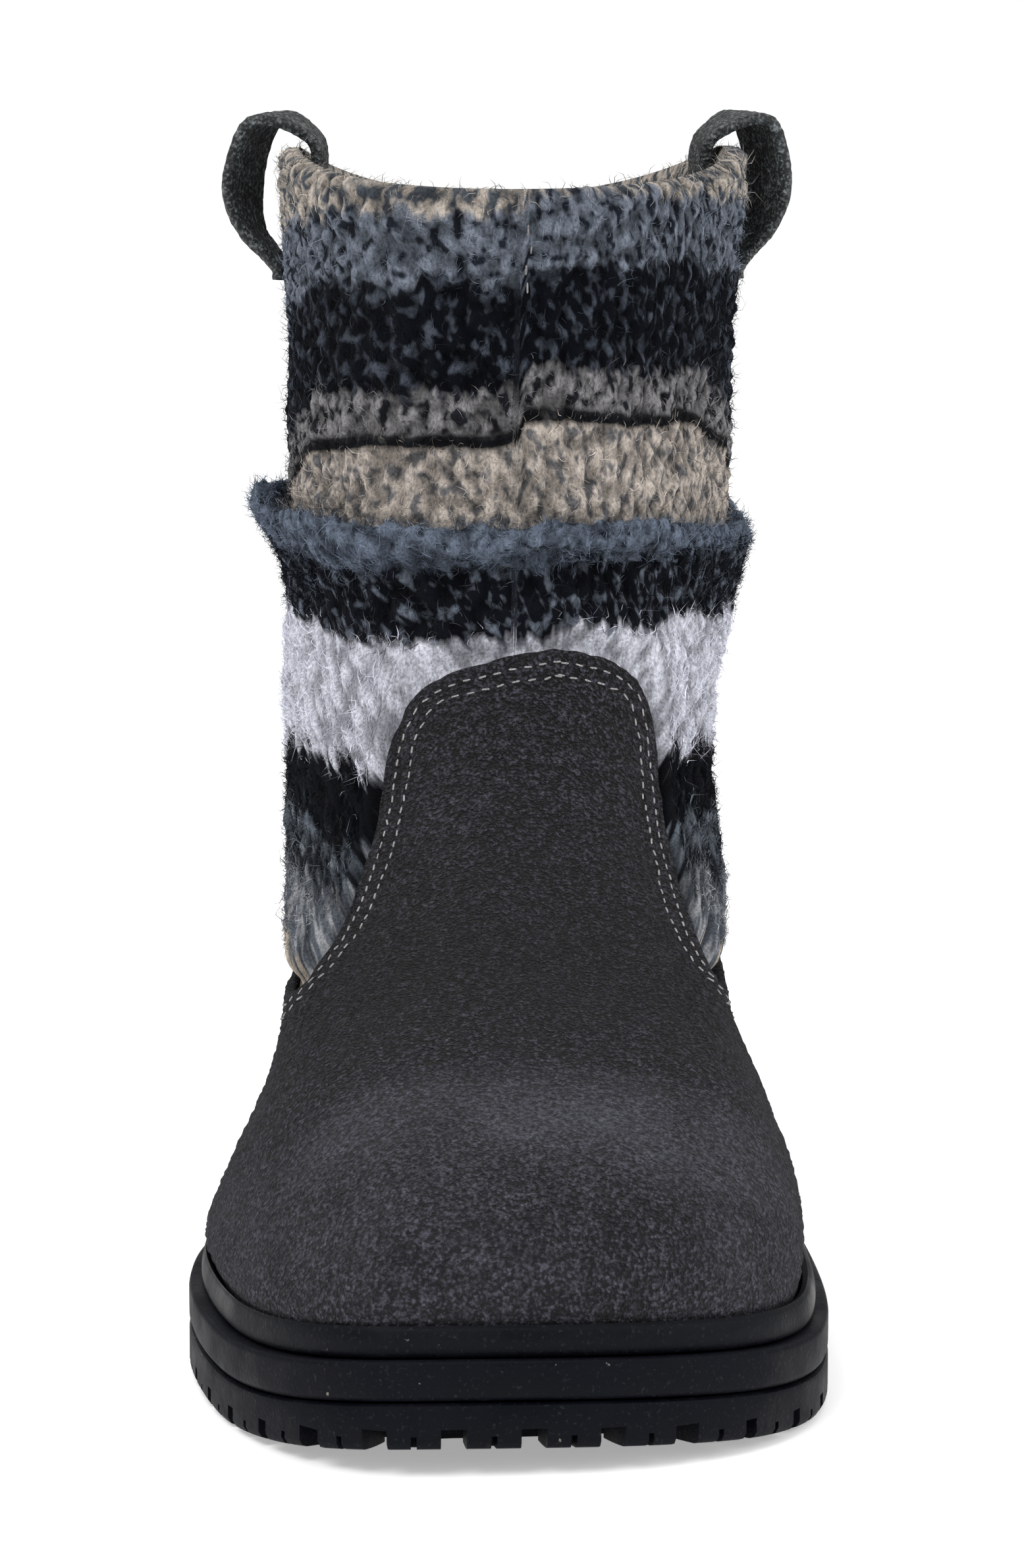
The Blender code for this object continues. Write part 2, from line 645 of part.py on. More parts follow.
def pull_loop(name, around, reach):
    """A strap sewn to the shaft inside and out, arched over the collar."""
    rim = float(collar_height(np.array([around]))[0])
    half = LOOP_THICKNESS / 2
    skin = 0.35 * KNIT_PUFF + 2 * GAP + half
    back = -(COLLAR_HEM + 2 * GAP + half)
    route = [
        (back, -LOOP_LEG_INSIDE),
        (back, -0.45 * LOOP_LEG_INSIDE),
        (back, 0.05 * LOOP_RISE),
        (0.55 * back, 0.72 * LOOP_RISE - half),
        (0.10 * reach, LOOP_RISE - half),
        (0.55 * reach, 0.62 * LOOP_RISE),
        (0.92 * reach, -0.13 * LOOP_LEG_OUTSIDE),
        (reach, -0.42 * LOOP_LEG_OUTSIDE),
        (0.80 * reach, -0.66 * LOOP_LEG_OUTSIDE),
        (0.42 * reach, -0.82 * LOOP_LEG_OUTSIDE),
        (skin, -0.94 * LOOP_LEG_OUTSIDE),
        (skin, -0.94 * LOOP_LEG_OUTSIDE - LOOP_END),
    ]
    path = spline(route, False, 2)
    ahead = np.gradient(path, axis=0)
    ahead /= np.linalg.norm(ahead, axis=1)[:, None]
    square = np.column_stack([-ahead[:, 1], ahead[:, 0]])
    around_collar = form(np.arange(COLUMNS) / COLUMNS, 2.0)[:, :2]
    turn = LOOP_WIDTH / 2 / np.linalg.norm(around_collar - np.roll(around_collar, 1, axis=0), axis=1).sum()
    places = around + turn * np.array([-1, 0, 1, 1, 0, -1])
    points = []
    for (r, z), away in zip(path, square):
        offsets = r + away[0] * half * np.array([-1, -1, -1, 1, 1, 1])
        levels = rim + z + away[1] * half * np.array([-1, -1, -1, 1, 1, 1])
        height = height_of(levels, 0)
        base = form(places, height)
        out = outward(places, np.full(6, 1.9))[:, :2]
        out /= np.linalg.norm(out, axis=1)[:, None]
        points.append(np.column_stack([base[:, :2] + out * offsets[:, None], levels]))
    faces = ring_faces(len(path), 6, False)
    last = 6 * (len(path) - 1)
    for start in (0, last):
        faces += [(start, start + 1, start + 4, start + 5), (start + 1, start + 2, start + 3, start + 4)]
    return mesh_object(name, np.concatenate(points), faces, "loop")


def centre_on_origin():
    """Move everything along the floor until the middle of the boot's box stands on the origin."""
    pieces = [obj for obj in bpy.data.objects if not obj.hide_render]
    floor = np.array([vertex.co[:2] for obj in pieces for vertex in obj.data.vertices])
    middle = (floor.min(axis=0) + floor.max(axis=0)) / 2
    for obj in bpy.data.objects:
        obj.location.x -= middle[0]
        obj.location.y -= middle[1]


def main():
    clear_scene()
    outsole()
    midsole()
    welt()
    insole()
    suede_upper()
    knit_shaft()
    pull_loop("pull_loop_outer", LOOP_PLACE, OUTER_LOOP_REACH)
    pull_loop("pull_loop_inner", 1 - LOOP_PLACE, INNER_LOOP_REACH)
    centre_on_origin()


main()
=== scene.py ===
"""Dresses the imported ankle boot: suede, brushed striped knit, stitching, strap loops and a rubber lug sole.

Metres, +Z up, toe to -Y, outer side of the left foot to +X. The shapes repeat the form of the boot's CAD
source at a finer pitch, in that source's own coordinates, and the frame's midsole says where it stands. A few
places, such as the straps, the fold's lip and the arch's shoulder, are fitted closer to the photo.
"""

import math

import bmesh
import bpy
import numpy as np
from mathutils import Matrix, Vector
from mathutils.bvhtree import BVHTree


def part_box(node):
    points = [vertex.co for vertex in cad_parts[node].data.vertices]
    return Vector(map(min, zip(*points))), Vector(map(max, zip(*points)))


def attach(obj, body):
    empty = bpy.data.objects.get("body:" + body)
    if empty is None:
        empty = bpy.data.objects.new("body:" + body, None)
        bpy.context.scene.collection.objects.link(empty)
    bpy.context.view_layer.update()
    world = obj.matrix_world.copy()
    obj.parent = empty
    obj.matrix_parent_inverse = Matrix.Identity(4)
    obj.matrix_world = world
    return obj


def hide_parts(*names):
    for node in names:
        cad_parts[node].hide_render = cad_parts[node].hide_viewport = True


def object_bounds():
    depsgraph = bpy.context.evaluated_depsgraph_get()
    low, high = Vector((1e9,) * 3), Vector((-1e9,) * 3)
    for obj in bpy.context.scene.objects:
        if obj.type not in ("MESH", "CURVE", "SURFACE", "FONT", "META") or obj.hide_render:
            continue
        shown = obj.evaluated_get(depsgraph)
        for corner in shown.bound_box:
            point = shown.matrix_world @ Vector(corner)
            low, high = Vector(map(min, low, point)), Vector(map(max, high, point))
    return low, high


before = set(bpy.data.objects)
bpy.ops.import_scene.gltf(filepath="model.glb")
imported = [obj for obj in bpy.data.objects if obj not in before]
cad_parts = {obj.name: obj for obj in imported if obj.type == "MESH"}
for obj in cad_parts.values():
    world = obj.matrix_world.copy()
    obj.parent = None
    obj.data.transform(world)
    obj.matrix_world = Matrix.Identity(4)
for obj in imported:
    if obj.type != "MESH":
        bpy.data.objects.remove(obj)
cad_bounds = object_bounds()

# Sizes of the boot. The collar's front and the straps are fitted closer to the photo than in the source.
SOLE_LENGTH = 0.280
BALL_WIDTH = 0.104
HEEL_WIDTH = 0.077
HEEL_SWING = 0.006
OUTSOLE_HEIGHT = 0.0075
MIDSOLE_HEIGHT = 0.0065
HEEL_RAISE = 0.014
TOE_SPRING = 0.0043
ARCH_HEIGHT = 0.0105
ARCH_RAKE = 0.006
TREAD_DEPTH = 0.0035
SIDE_NOTCH = 0.0023
TOE_NOTCH = 0.0040
NOTCH_PITCH = 0.0122
LUG_LENGTH = 0.0125
TREAD_GROOVE = 0.0034
WELT_LEDGE = 0.0022
WELT_THICKNESS = 0.0036
WELT_TOP = 0.053
SUEDE = 0.0021
INSTEP_HEIGHT = 0.1075
SHAFT_WIDTH = 0.081
SHAFT_DEPTH = 0.116
SHAFT_SET = 0.012
SHAFT_SIDE_SHIFT = 0.0021
COLLAR_HEIGHT = 0.1915
FRONT_DIP = 0.0044
BACK_DIP = 0.0120
KNIT = 0.0034
COLLAR_HEM = 0.0048
KNIT_PUFF = 0.0016
ARCH_TURN = 0.015
SEAM_LAP = 0.0040
STEEPEST_SEAM = 2.0
FOLD_HEIGHT = 0.1262
FOLD_TILT = 0.0030
FOLD_REACH = 0.0060
FOLD_LEAN = 0.22
FOLD_DEPTH = 0.0075
LOOP_WIDTH = 0.0175
LOOP_THICKNESS = 0.0022
LOOP_RISE = 0.0066
INNER_LOOP_REACH = 0.0078
OUTER_LOOP_REACH = 0.0066
LOOP_LEG_OUTSIDE = 0.0235
LOOP_LEG_INSIDE = 0.0150
LOOP_END = 0.0018
LOOP_PLACE = 0.280
GAP = 0.0003
COLUMN_LEAN = 0.030
SOURCE_COLUMNS = 70
FRONT_CROWDING = 0.40
SIDE_CROWDING = 0.12

# The sole's outline: across as a share of the local width, along as a share of the length
OUTLINE = np.array(
    [
        (-0.159, -0.500), (0.096, -0.495), (0.246, -0.478), (0.358, -0.451), (0.437, -0.412), (0.484, -0.360),
        (0.500, -0.272), (0.491, -0.130), (0.462, 0.030), (0.470, 0.160), (0.500, 0.300), (0.447, 0.412),
        (0.262, 0.482), (0.000, 0.500), (-0.262, 0.482), (-0.447, 0.412), (-0.500, 0.300), (-0.436, 0.165),
        (-0.384, 0.050), (-0.412, -0.060), (-0.480, -0.155), (-0.500, -0.239), (-0.489, -0.306),
        (-0.454, -0.370), (-0.400, -0.424), (-0.330, -0.465), (-0.248, -0.491),
    ]
)

# The upper's sections: height, front, back, inner, outer, oval
SECTIONS = np.array(
    [
        (0.00, 0.000, 0.00, 0.000, 0.000, 0.00),
        (0.08, -0.014, -0.12, 0.036, 0.022, 0.00),
        (0.17, -0.002, -0.20, 0.006, 0.020, 0.02),
        (0.26, 0.035, -0.22, -0.030, -0.008, 0.08),
        (0.335, 0.100, -0.20, -0.042, -0.043, 0.20),
        (0.40, 0.210, -0.10, -0.033, -0.068, 0.36),
        (0.48, 0.405, 0.05, -0.008, -0.064, 0.58),
        (0.58, 0.615, 0.25, -0.006, -0.060, 0.80),
        (0.70, 0.780, 0.48, -0.008, -0.063, 0.95),
        (0.84, 0.915, 0.75, 0.005, -0.042, 1.00),
        (1.00, 1.000, 1.00, -0.004, -0.012, 1.00),
        (1.25, 1.035, 1.10, -0.003, -0.002, 1.00),
        (1.60, 1.030, 1.05, 0.001, 0.010, 1.00),
        (2.00, 1.000, 0.90, 0.012, 0.040, 1.00),
        (2.20, 0.980, 0.86, 0.014, 0.046, 1.00),
    ]
)

# The suede's top edge: the way round from the arch's middle, and its height in the sections
SUEDE_EDGE = np.array(
    [
        (0.000, 1.000), (0.014, 0.988), (0.027, 0.970), (0.041, 0.940), (0.054, 0.898), (0.064, 0.850),
        (0.073, 0.800), (0.083, 0.740), (0.094, 0.680), (0.106, 0.620), (0.118, 0.560), (0.132, 0.505),
        (0.150, 0.460), (0.178, 0.432), (0.220, 0.434), (0.280, 0.490), (0.350, 0.590), (0.420, 0.690),
        (0.500, 0.730),
    ]
)

KNIT_PUFFS = ((0.17, 0.80), (0.42, 1.00), (0.68, 0.80), (0.86, 1.35))
FOLD = ((0.92, 0.72), (1.00, 0.30), (0.80, 0.00), (0.46, 0.30), (0.22, 1.00), (0.02, 0.72))
TUBE_PUFFS = ((0.22, 0.30), (0.50, 0.10), (0.76, 0.15), (0.93, 0.30))

# Sizes of this scene's own detail
SHOULDER = 0.14  # how much fuller the suede's arch is at its inner shoulder
FRONT_LIP = 0.0030  # how much higher the fold's lip stands in front
KNIT_COLUMNS = 420
SUEDE_COLUMNS = 440
SOLE_COLUMNS = 300
WALES = 116
TUFT_LENGTH = 0.0062
TUFT_HEIGHT = 0.0011
SEAM_PLACE = 0.002  # where the knit's front seam stands, as a share of the way round
SEAM_STEP = 0.0034  # how much higher the stripes stand on the outer side of it
FIBRES = 18500  # in each of the three pieces of fuzz
LOOP_TWIST = 0.27  # how far a strap's rear edge turns in where it stands free, as a slope
STRIPE_RISE_UPPER = (0.0185, 0.0080)  # how much higher the stripes stand in front, at the fold and the collar
STRIPE_RISE_LOWER = 0.0070  # the same under the white stripe
STITCH_ROWS = (0.0026, 0.0052)
STITCH_PITCH = 0.0027
STITCH_LENGTH = 0.0014
STITCH_THICKNESS = 0.00036
CLOTH_ROWS = 196
LINING_ROWS = 26
FUZZ_START = 15  # the cloth's rows where the three pieces of fuzz start
FOLD_START = 62
TUBE_START = 96
WALE_WIDTH = 0.00276  # one wale of the knit
COURSE_HEIGHT = 0.0070  # one row of the knit's pattern of flecks
FIBRE_LENGTHS = (0.0012, 0.0030)
FIBRE_LIFTS = (0.0001, 0.0007)
FIBRE_RADII = (0.00004, 0.00009)
FIBRE_TONES = (0.75, 1.65)
THIN_LINE = 0.1593  # the middle of the thin black stripe
GREY_SUEDE = ((0.0008, 0.0008, 0.0016), (0.0310, 0.0305, 0.0415), (0.205, 0.212, 0.255))
STRAP_SUEDE = ((0.016, 0.019, 0.020), (0.115, 0.130, 0.136), (0.30, 0.285, 0.28))
FOCAL_LENGTH = 8696.2  # of the photo's camera, in the photo's pixels
PHOTO_WIDTH = 1552
CAMERA_PLACE = (-0.0358, -0.9876, 0.2499)
CAMERA_PITCH = 9.502  # degrees that it looks down
CAMERA_TURN = -2.113

# The knit's stripes from the suede up: where each starts in metres along the cloth, its colour, the colour of
# its flecks and their share.
STRIPES = (
    (0.0300, (0.66, 0.57, 0.47), (0.13, 0.14, 0.16), 0.40),
    (0.0525, (0.115, 0.130, 0.155), (0.40, 0.41, 0.43), 0.42),
    (0.0620, (0.014, 0.016, 0.022), (0.12, 0.14, 0.165), 0.34),
    (0.0655, (0.135, 0.160, 0.190), (0.36, 0.38, 0.42), 0.30),
    (0.0680, (0.006, 0.007, 0.010), (0.05, 0.06, 0.07), 0.18),
    (0.0785, (0.830, 0.840, 0.940), (0.30, 0.315, 0.35), 0.13),
    (0.1060, (0.006, 0.007, 0.011), (0.165, 0.190, 0.235), 0.32),
    (0.1185, (0.175, 0.212, 0.278), (0.034, 0.042, 0.058), 0.34),
    (0.1375, (0.650, 0.575, 0.510), (0.170, 0.168, 0.175), 0.42),
    (0.1580, (0.006, 0.007, 0.009), (0.07, 0.07, 0.07), 0.20),
    (0.1607, (0.300, 0.292, 0.300), (0.016, 0.017, 0.022), 0.44),
    (0.1672, (0.003, 0.004, 0.007), (0.070, 0.082, 0.106), 0.35),
    (0.1865, (0.215, 0.245, 0.300), (0.016, 0.020, 0.030), 0.42),
    (0.1995, (0.600, 0.530, 0.460), (0.090, 0.105, 0.125), 0.46),
)


def smooth_step(value, start, end):
    t = np.clip((value - start) / (end - start), 0, 1)
    return t * t * (3 - 2 * t)


def spline(points, closed, per_span=24):
    """A smooth curve through every point, sampled evenly in each span."""
    points = np.asarray(points, float)
    count = len(points)
    spans = count if closed else count - 1
    if closed:
        padded = np.concatenate([points[-1:], points, points[:2]])
    else:
        padded = np.concatenate([2 * points[:1] - points[1:2], points, 2 * points[-1:] - points[-2:-1]])
    t = (np.arange(per_span) / per_span).reshape((-1,) + (1,) * (points.ndim - 1))
    pieces = []
    for i in range(spans):
        a, b, c, d = padded[i : i + 4]
        pieces.append(
            0.5 * (2 * b + (c - a) * t + (2 * a - 5 * b + 4 * c - d) * t**2 + (3 * b - a - 3 * c + d) * t**3)
        )
    if not closed:
        pieces.append(points[-1:])
    return np.concatenate(pieces)


def along(curve, shares):
    """Points of a closed curve at these shares of its length."""
    ring = np.concatenate([curve, curve[:1]])
    length = np.concatenate([[0], np.cumsum(np.linalg.norm(np.diff(ring, axis=0), axis=1))])
    at = np.mod(shares, 1) * length[-1]
    return np.column_stack([np.interp(at, length, ring[:, i]) for i in range(2)])


def inset(curve, distance):
    """A closed curve in plan moved inwards."""
    tangent = np.roll(curve, -1, axis=0) - np.roll(curve, 1, axis=0)
    tangent /= np.linalg.norm(tangent, axis=1)[:, None]
    return curve + np.column_stack([-tangent[:, 1], tangent[:, 0]]) * np.reshape(distance, (-1, 1))


def sole_outline():
    heelward = smooth_step(OUTLINE[:, 1], -0.22, 0.30)
    across = OUTLINE[:, 0] * (BALL_WIDTH + (HEEL_WIDTH - BALL_WIDTH) * heelward) + HEEL_SWING * heelward
    curve = spline(np.column_stack([across, OUTLINE[:, 1] * SOLE_LENGTH]), True)
    return curve - (curve.max(axis=0) + curve.min(axis=0)) / 2


def toe_lift(y):
    start = -0.37 * SOLE_LENGTH
    ahead = np.clip((start - y) / (start + 0.5 * SOLE_LENGTH), 0, None)
    return TOE_SPRING * ahead**1.9


def deck(y):
    """The height of the midsole's top at y."""
    heel = HEEL_RAISE * smooth_step(y, -0.10 * SOLE_LENGTH, 0.22 * SOLE_LENGTH)
    return OUTSOLE_HEIGHT + GAP + MIDSOLE_HEIGHT + toe_lift(y) + heel


def oval():
    """The shaft's section, starting at the front and turning to the outer side."""
    angle = np.arange(720) / 720 * 2 * math.pi
    squareness = np.where(np.cos(angle) > 0, 2.05, 2.35)
    x = np.sign(np.sin(angle)) * np.abs(np.sin(angle)) ** (2 / squareness)
    y = -np.sign(np.cos(angle)) * np.abs(np.cos(angle)) ** (2 / squareness)
    return np.column_stack([x * SHAFT_WIDTH / 2, y * SHAFT_DEPTH / 2])


SOLE = sole_outline()
FEATHER_INSET = WELT_LEDGE + WELT_THICKNESS + GAP
FEATHER = inset(SOLE, FEATHER_INSET)
SECTION_CURVE = spline(SECTIONS, False)
EDGE_CURVE = spline(SUEDE_EDGE, False)
OVAL = oval()


def boxed(curve, points):
    low, high = curve.min(axis=0), curve.max(axis=0)
    return (points - (low + high) / 2) / ((high - low) / 2)


def leaned(around, height):
    """The share of the way round that a column which starts at around has leaned to at this height."""
    from_front = (around + 0.5) % 1 - 0.5
    beside = from_front / 0.11
    beside = beside * np.exp((1 - beside**2) / 2)
    return around + COLUMN_LEAN * beside * np.tanh((height - 0.65) / 0.2) * smooth_step(height, 0.08, 0.45)


def form(around, height):
    """The upper's outer face: around is a share of the way round, height as in the sections."""
    around, height = np.broadcast_arrays(np.asarray(around, float), np.asarray(height, float))
    around = leaned(around, height)
    front, back, inner, outer, ovalness = (
        np.interp(height, SECTION_CURVE[:, 0], SECTION_CURVE[:, i]) for i in range(1, 6)
    )
    foot = boxed(FEATHER, along(FEATHER, around))
    leg = boxed(OVAL, along(OVAL, around))
    shape = foot * (1 - ovalness)[:, None] + leg * ovalness[:, None]
    low, high = FEATHER.min(axis=0), FEATHER.max(axis=0)
    shaft_back = high[1] - SHAFT_SET
    shaft_front = shaft_back - SHAFT_DEPTH
    shaft_middle = HEEL_SWING / 2 + SHAFT_SIDE_SHIFT
    left = low[0] + ovalness * (shaft_middle - SHAFT_WIDTH / 2 - low[0]) - inner * SHAFT_WIDTH
    right = high[0] + ovalness * (shaft_middle + SHAFT_WIDTH / 2 - high[0]) + outer * SHAFT_WIDTH
    toe = low[1] + front * (shaft_front - low[1])
    heel = high[1] + back * (shaft_back - high[1])
    x = (left + right) / 2 + shape[:, 0] * (right - left) / 2
    y = (toe + heel) / 2 + shape[:, 1] * (heel - toe) / 2
    foot_z = deck(y) + GAP + height * (INSTEP_HEIGHT - deck(y) - GAP)
    leg_z = INSTEP_HEIGHT + (height - 1) * (COLLAR_HEIGHT - INSTEP_HEIGHT)
    return np.column_stack([x, y, np.where(height < 1, foot_z, leg_z)])


def outward(around, height):
    """Unit vectors square to the form's face, pointing out."""
    step = 0.004
    round_way = form(around + step, height) - form(around - step, height)
    up_way = form(around, np.clip(height + step, 0, 2.2)) - form(around, np.clip(height - step, 0, 2.2))
    normal = np.cross(round_way, up_way)
    return normal / np.linalg.norm(normal, axis=1)[:, None]


def height_of(z, y):
    """The section height of a point at z, where the sole's deck is that of y."""
    low = deck(y) + GAP
    return np.where(
        z < INSTEP_HEIGHT,
        (z - low) / (INSTEP_HEIGHT - low),
        1 + (z - INSTEP_HEIGHT) / (COLLAR_HEIGHT - INSTEP_HEIGHT),
    )


def suede_edge(around):
    turned = around - ARCH_TURN * np.cos(math.pi * around) ** 2
    turned = (turned + 0.5) % 1 - 0.5
    from_front = np.abs(turned)
    fuller = SHOULDER * np.exp(-(((from_front - 0.046) / 0.026) ** 2)) * (turned < 0)
    return np.interp(from_front * (1 - fuller), EDGE_CURVE[:, 0], EDGE_CURVE[:, 1])


def edge_stretch(around):
    """How much longer a step straight up from the suede's edge is than the same step square to the edge."""
    step = 0.004
    behind, ahead = (form(around + s, suede_edge(around + s)) for s in (-step, step))
    run = np.linalg.norm(ahead[:, :2] - behind[:, :2], axis=1)
    return np.minimum(np.hypot(1, (ahead[:, 2] - behind[:, 2]) / run), STEEPEST_SEAM)


def fold_lip(around):
    from_front = (around - 0.04 + 0.5) % 1 - 0.5
    wave = 0.0007 * np.sin(6 * math.pi * around + 0.6) + 0.0004 * np.sin(14 * math.pi * around)
    raised = FRONT_LIP * np.exp(-((from_front / 0.13) ** 2))
    return FOLD_HEIGHT - FOLD_TILT * np.sin(2 * math.pi * around) + raised + wave


def collar_height(around):
    forward = np.cos(2 * math.pi * around)
    return COLLAR_HEIGHT - np.where(forward > 0, FRONT_DIP, BACK_DIP) * forward**2


# The form stands in the frame where the midsole, which is centred on the form's origin, stands.
MIDSOLE_LOW, MIDSOLE_HIGH = (np.array(corner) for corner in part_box("midsole"))
SHIFT = (MIDSOLE_LOW + MIDSOLE_HIGH) / 2 * (1, 1, 0)


def smooth_noise(seed, x, y, wrap=256):
    """Smooth noise from -1 to 1 with cells one unit wide, which repeats in x after wrap cells."""
    values = np.random.default_rng(seed).uniform(-1, 1, (256, 256))
    left, low = np.floor(x).astype(int), np.floor(y).astype(int)
    s, t = x - left, y - low
    s, t = s * s * (3 - 2 * s), t * t * (3 - 2 * t)

    def corner(i, j):
        return values[(low + j) % 256, (left + i) % wrap % 256]

    bottom = corner(0, 0) * (1 - s) + corner(1, 0) * s
    top = corner(0, 1) * (1 - s) + corner(1, 1) * s
    return bottom * (1 - t) + top * t


def grid_normals(points):
    """Unit vectors square to a grid of rows by columns that is closed round its columns."""
    round_way = np.roll(points, -1, axis=1) - np.roll(points, 1, axis=1)
    up_way = np.gradient(points, axis=0)
    normal = np.cross(round_way, up_way)
    return normal / np.maximum(np.linalg.norm(normal, axis=2), 1e-12)[..., None]


def ring_faces(rows, columns, joined):
    """Quads between closed rings; joined also ties the last ring to the first."""
    row, column = np.meshgrid(np.arange(rows if joined else rows - 1), np.arange(columns), indexing="ij")
    after = (column + 1) % columns
    above = (row + 1) % rows
    low, high = row * columns, above * columns
    return np.stack([low + column, low + after, high + after, high + column], axis=-1).reshape(-1, 4).tolist()


def ladder_faces(start, columns):
    """A cap across one closed ring, each column tied to the one across from it."""
    half = columns // 2
    end = start + columns
    faces = [(start, start + 1, end - 1)]
    faces += [(start + j, start + j + 1, end - j - 1, end - j) for j in range(1, half - 1)]
    faces.append((start + half - 1, start + half, start + half + 1))
    return faces


def keep_marks(mesh, marks):
    """Named values at a mesh's points, for its surface to read."""
    for name, values in marks.items():
        stored = mesh.attributes.new(name, "FLOAT", "POINT").data
        stored.foreach_set("value", np.ravel(values).astype(np.float32))


def placed(name, data):
    """A new object of this data in the scene."""
    obj = bpy.data.objects.new(name, data)
    bpy.context.collection.objects.link(obj)
    return obj


def mesh_object(name, points, faces, surface=None, marks=None, sharp=60):
    """A smooth closed mesh with named values at its points. With no surface it is a cutter."""
    mesh = bpy.data.meshes.new(name)
    mesh.from_pydata((np.asarray(points) + SHIFT).tolist(), [], faces)
    shape = bmesh.new()
    shape.from_mesh(mesh)
    bmesh.ops.recalc_face_normals(shape, faces=shape.faces)
    shape.to_mesh(mesh)
    shape.free()
    keep_marks(mesh, marks or {})
    obj = placed(name, mesh)
    if surface:
        mesh.materials.append(surface)
        mesh.shade_smooth()
        mesh.set_sharp_from_angle(angle=math.radians(sharp))
    return obj


def add(tree, kind, inputs=None, **settings):
    """A shader node with its settings, and its inputs linked or set."""
    made = tree.nodes.new("ShaderNode" + kind)
    for name, value in settings.items():
        setattr(made, name, value)
    for key, value in (inputs or {}).items():
        if isinstance(value, bpy.types.NodeSocket):
            tree.links.new(value, made.inputs[key])
        else:
            made.inputs[key].default_value = value
    return made


def new_surface(name, roughness, sheen=0.0, specular=0.5):
    made = bpy.data.materials.new(name)
    made.use_nodes = True
    tree = made.node_tree
    shader = tree.nodes["Principled BSDF"]
    shader.inputs["Roughness"].default_value = roughness
    shader.inputs["Sheen Weight"].default_value = sheen
    shader.inputs["Sheen Roughness"].default_value = 0.6
    shader.inputs["Specular IOR Level"].default_value = specular
    return made, tree, shader


def noise(tree, vector, scale, detail=2.0, roughness=0.55):
    inputs = {"Vector": vector, "Scale": scale, "Detail": detail, "Roughness": roughness}
    return add(tree, "TexNoise", inputs).outputs["Fac"]


def spread(tree, value, low, high, start=0.0, end=1.0):
    """A value from low to high carried over to start to end, and held at both."""
    inputs = {"Value": value, "From Min": low, "From Max": high, "To Min": start, "To Max": end}
    return add(tree, "MapRange", inputs).outputs["Result"]


def mixed(tree, share, first, second, way="MIX"):
    inputs = {"Fac": share, "Color1": first, "Color2": second}
    return add(tree, "MixRGB", inputs, blend_type=way).outputs["Color"]


def dimmed(tree, colour, level):
    """The colour times a level."""
    grey = add(tree, "CombineColor", {"Red": level, "Green": level, "Blue": level}).outputs[0]
    return mixed(tree, 1.0, colour, grey, "MULTIPLY")


def maths(tree, operation, first, second=0.0):
    return add(tree, "Math", {0: first, 1: second}, operation=operation).outputs[0]


def bump(tree, shader, height, depth, strength=1.0):
    made = add(tree, "Bump", {"Height": height, "Distance": depth, "Strength": strength})
    tree.links.new(made.outputs["Normal"], shader.inputs["Normal"])


def stretched(tree, vector, scale, location=(0, 0, 0)):
    return add(tree, "Mapping", {"Vector": vector, "Scale": scale, "Location": location}).outputs[0]


def place(tree):
    return add(tree, "TexCoord").outputs["Object"]


def mark(tree, name):
    return add(tree, "Attribute", attribute_name=name).outputs["Fac"]


def suede_surface(name, dark, middle, light):
    """Napped leather: grain, soft brushed patches, paler rubbed places where the mark is above zero, and
    painted shade where it is below zero.
    """
    made, tree, shader = new_surface(name, 0.95, 0.06, 0.12)
    where = place(tree)
    dots = {"Vector": where, "Scale": 1500.0, "Randomness": 1.0, "Smoothness": 0.5}
    cells = add(tree, "TexVoronoi", dots, feature="SMOOTH_F1").outputs["Distance"]
    clumps = maths(tree, "SUBTRACT", 1.0, spread(tree, cells, 0.10, 0.75))
    rough = maths(tree, "MULTIPLY", noise(tree, where, 1050, 3, 0.72), 0.80)
    grain = maths(tree, "ADD", rough, maths(tree, "MULTIPLY", clumps, 0.20))
    fine = noise(tree, where, 2100, 2, 0.65)
    patches = noise(tree, where, 46, 3, 0.55)
    peak = tuple(3.0 * c for c in middle)
    colour = mixed(tree, spread(tree, grain, 0.45, 0.54), (*dark, 1), (*middle, 1))
    colour = mixed(tree, spread(tree, grain, 0.55, 0.66, 0.0, 0.9), colour, (*peak, 1))
    colour = mixed(tree, spread(tree, patches, 0.35, 0.70, 0.0, 0.12), colour, (*middle, 1))
    colour = dimmed(tree, colour, spread(tree, noise(tree, where, 310, 3, 0.6), 0.32, 0.68, 0.50, 1.55))
    wear_and_painted_shade = mark(tree, "wear_and_painted_shade")
    # Painted shade: where the mark is below zero, the colour is pulled towards the dark tone.
    colour = mixed(tree, maths(tree, "SUBTRACT", 0.0, wear_and_painted_shade), colour, (*dark, 1))
    uneven = spread(tree, noise(tree, where, 70, 4, 0.6), 0.30, 0.68, 0.45, 1.0)
    rubbed = maths(tree, "MULTIPLY", wear_and_painted_shade, uneven)
    rubbed = maths(tree, "MULTIPLY", rubbed, spread(tree, grain, 0.30, 0.60, 0.25, 1.0))
    colour = mixed(tree, rubbed, colour, (*light, 1))
    colour = mixed(tree, spread(tree, fine, 0.62, 0.74, 0.0, 0.30), colour, (*light, 1))
    tree.links.new(colour, shader.inputs["Base Color"])
    relief = maths(tree, "ADD", maths(tree, "MULTIPLY", grain, 0.75), maths(tree, "MULTIPLY", fine, 0.30))
    bump(tree, shader, relief, 0.0026, 1.0)
    return made


def ramp(tree, where, stops):
    """A colour ramp with these stops of place, colour and alpha."""
    made = add(tree, "ValToRGB", {"Fac": where})
    elements = made.color_ramp.elements
    made.color_ramp.interpolation = "LINEAR"
    elements[0].position, elements[0].color = stops[0][0], (*stops[0][1], stops[0][2])
    elements[1].position, elements[1].color = stops[-1][0], (*stops[-1][1], stops[-1][2])
    for position, colour, alpha in stops[1:-1]:
        element = elements.new(position)
        element.color = (*colour, alpha)
    return made


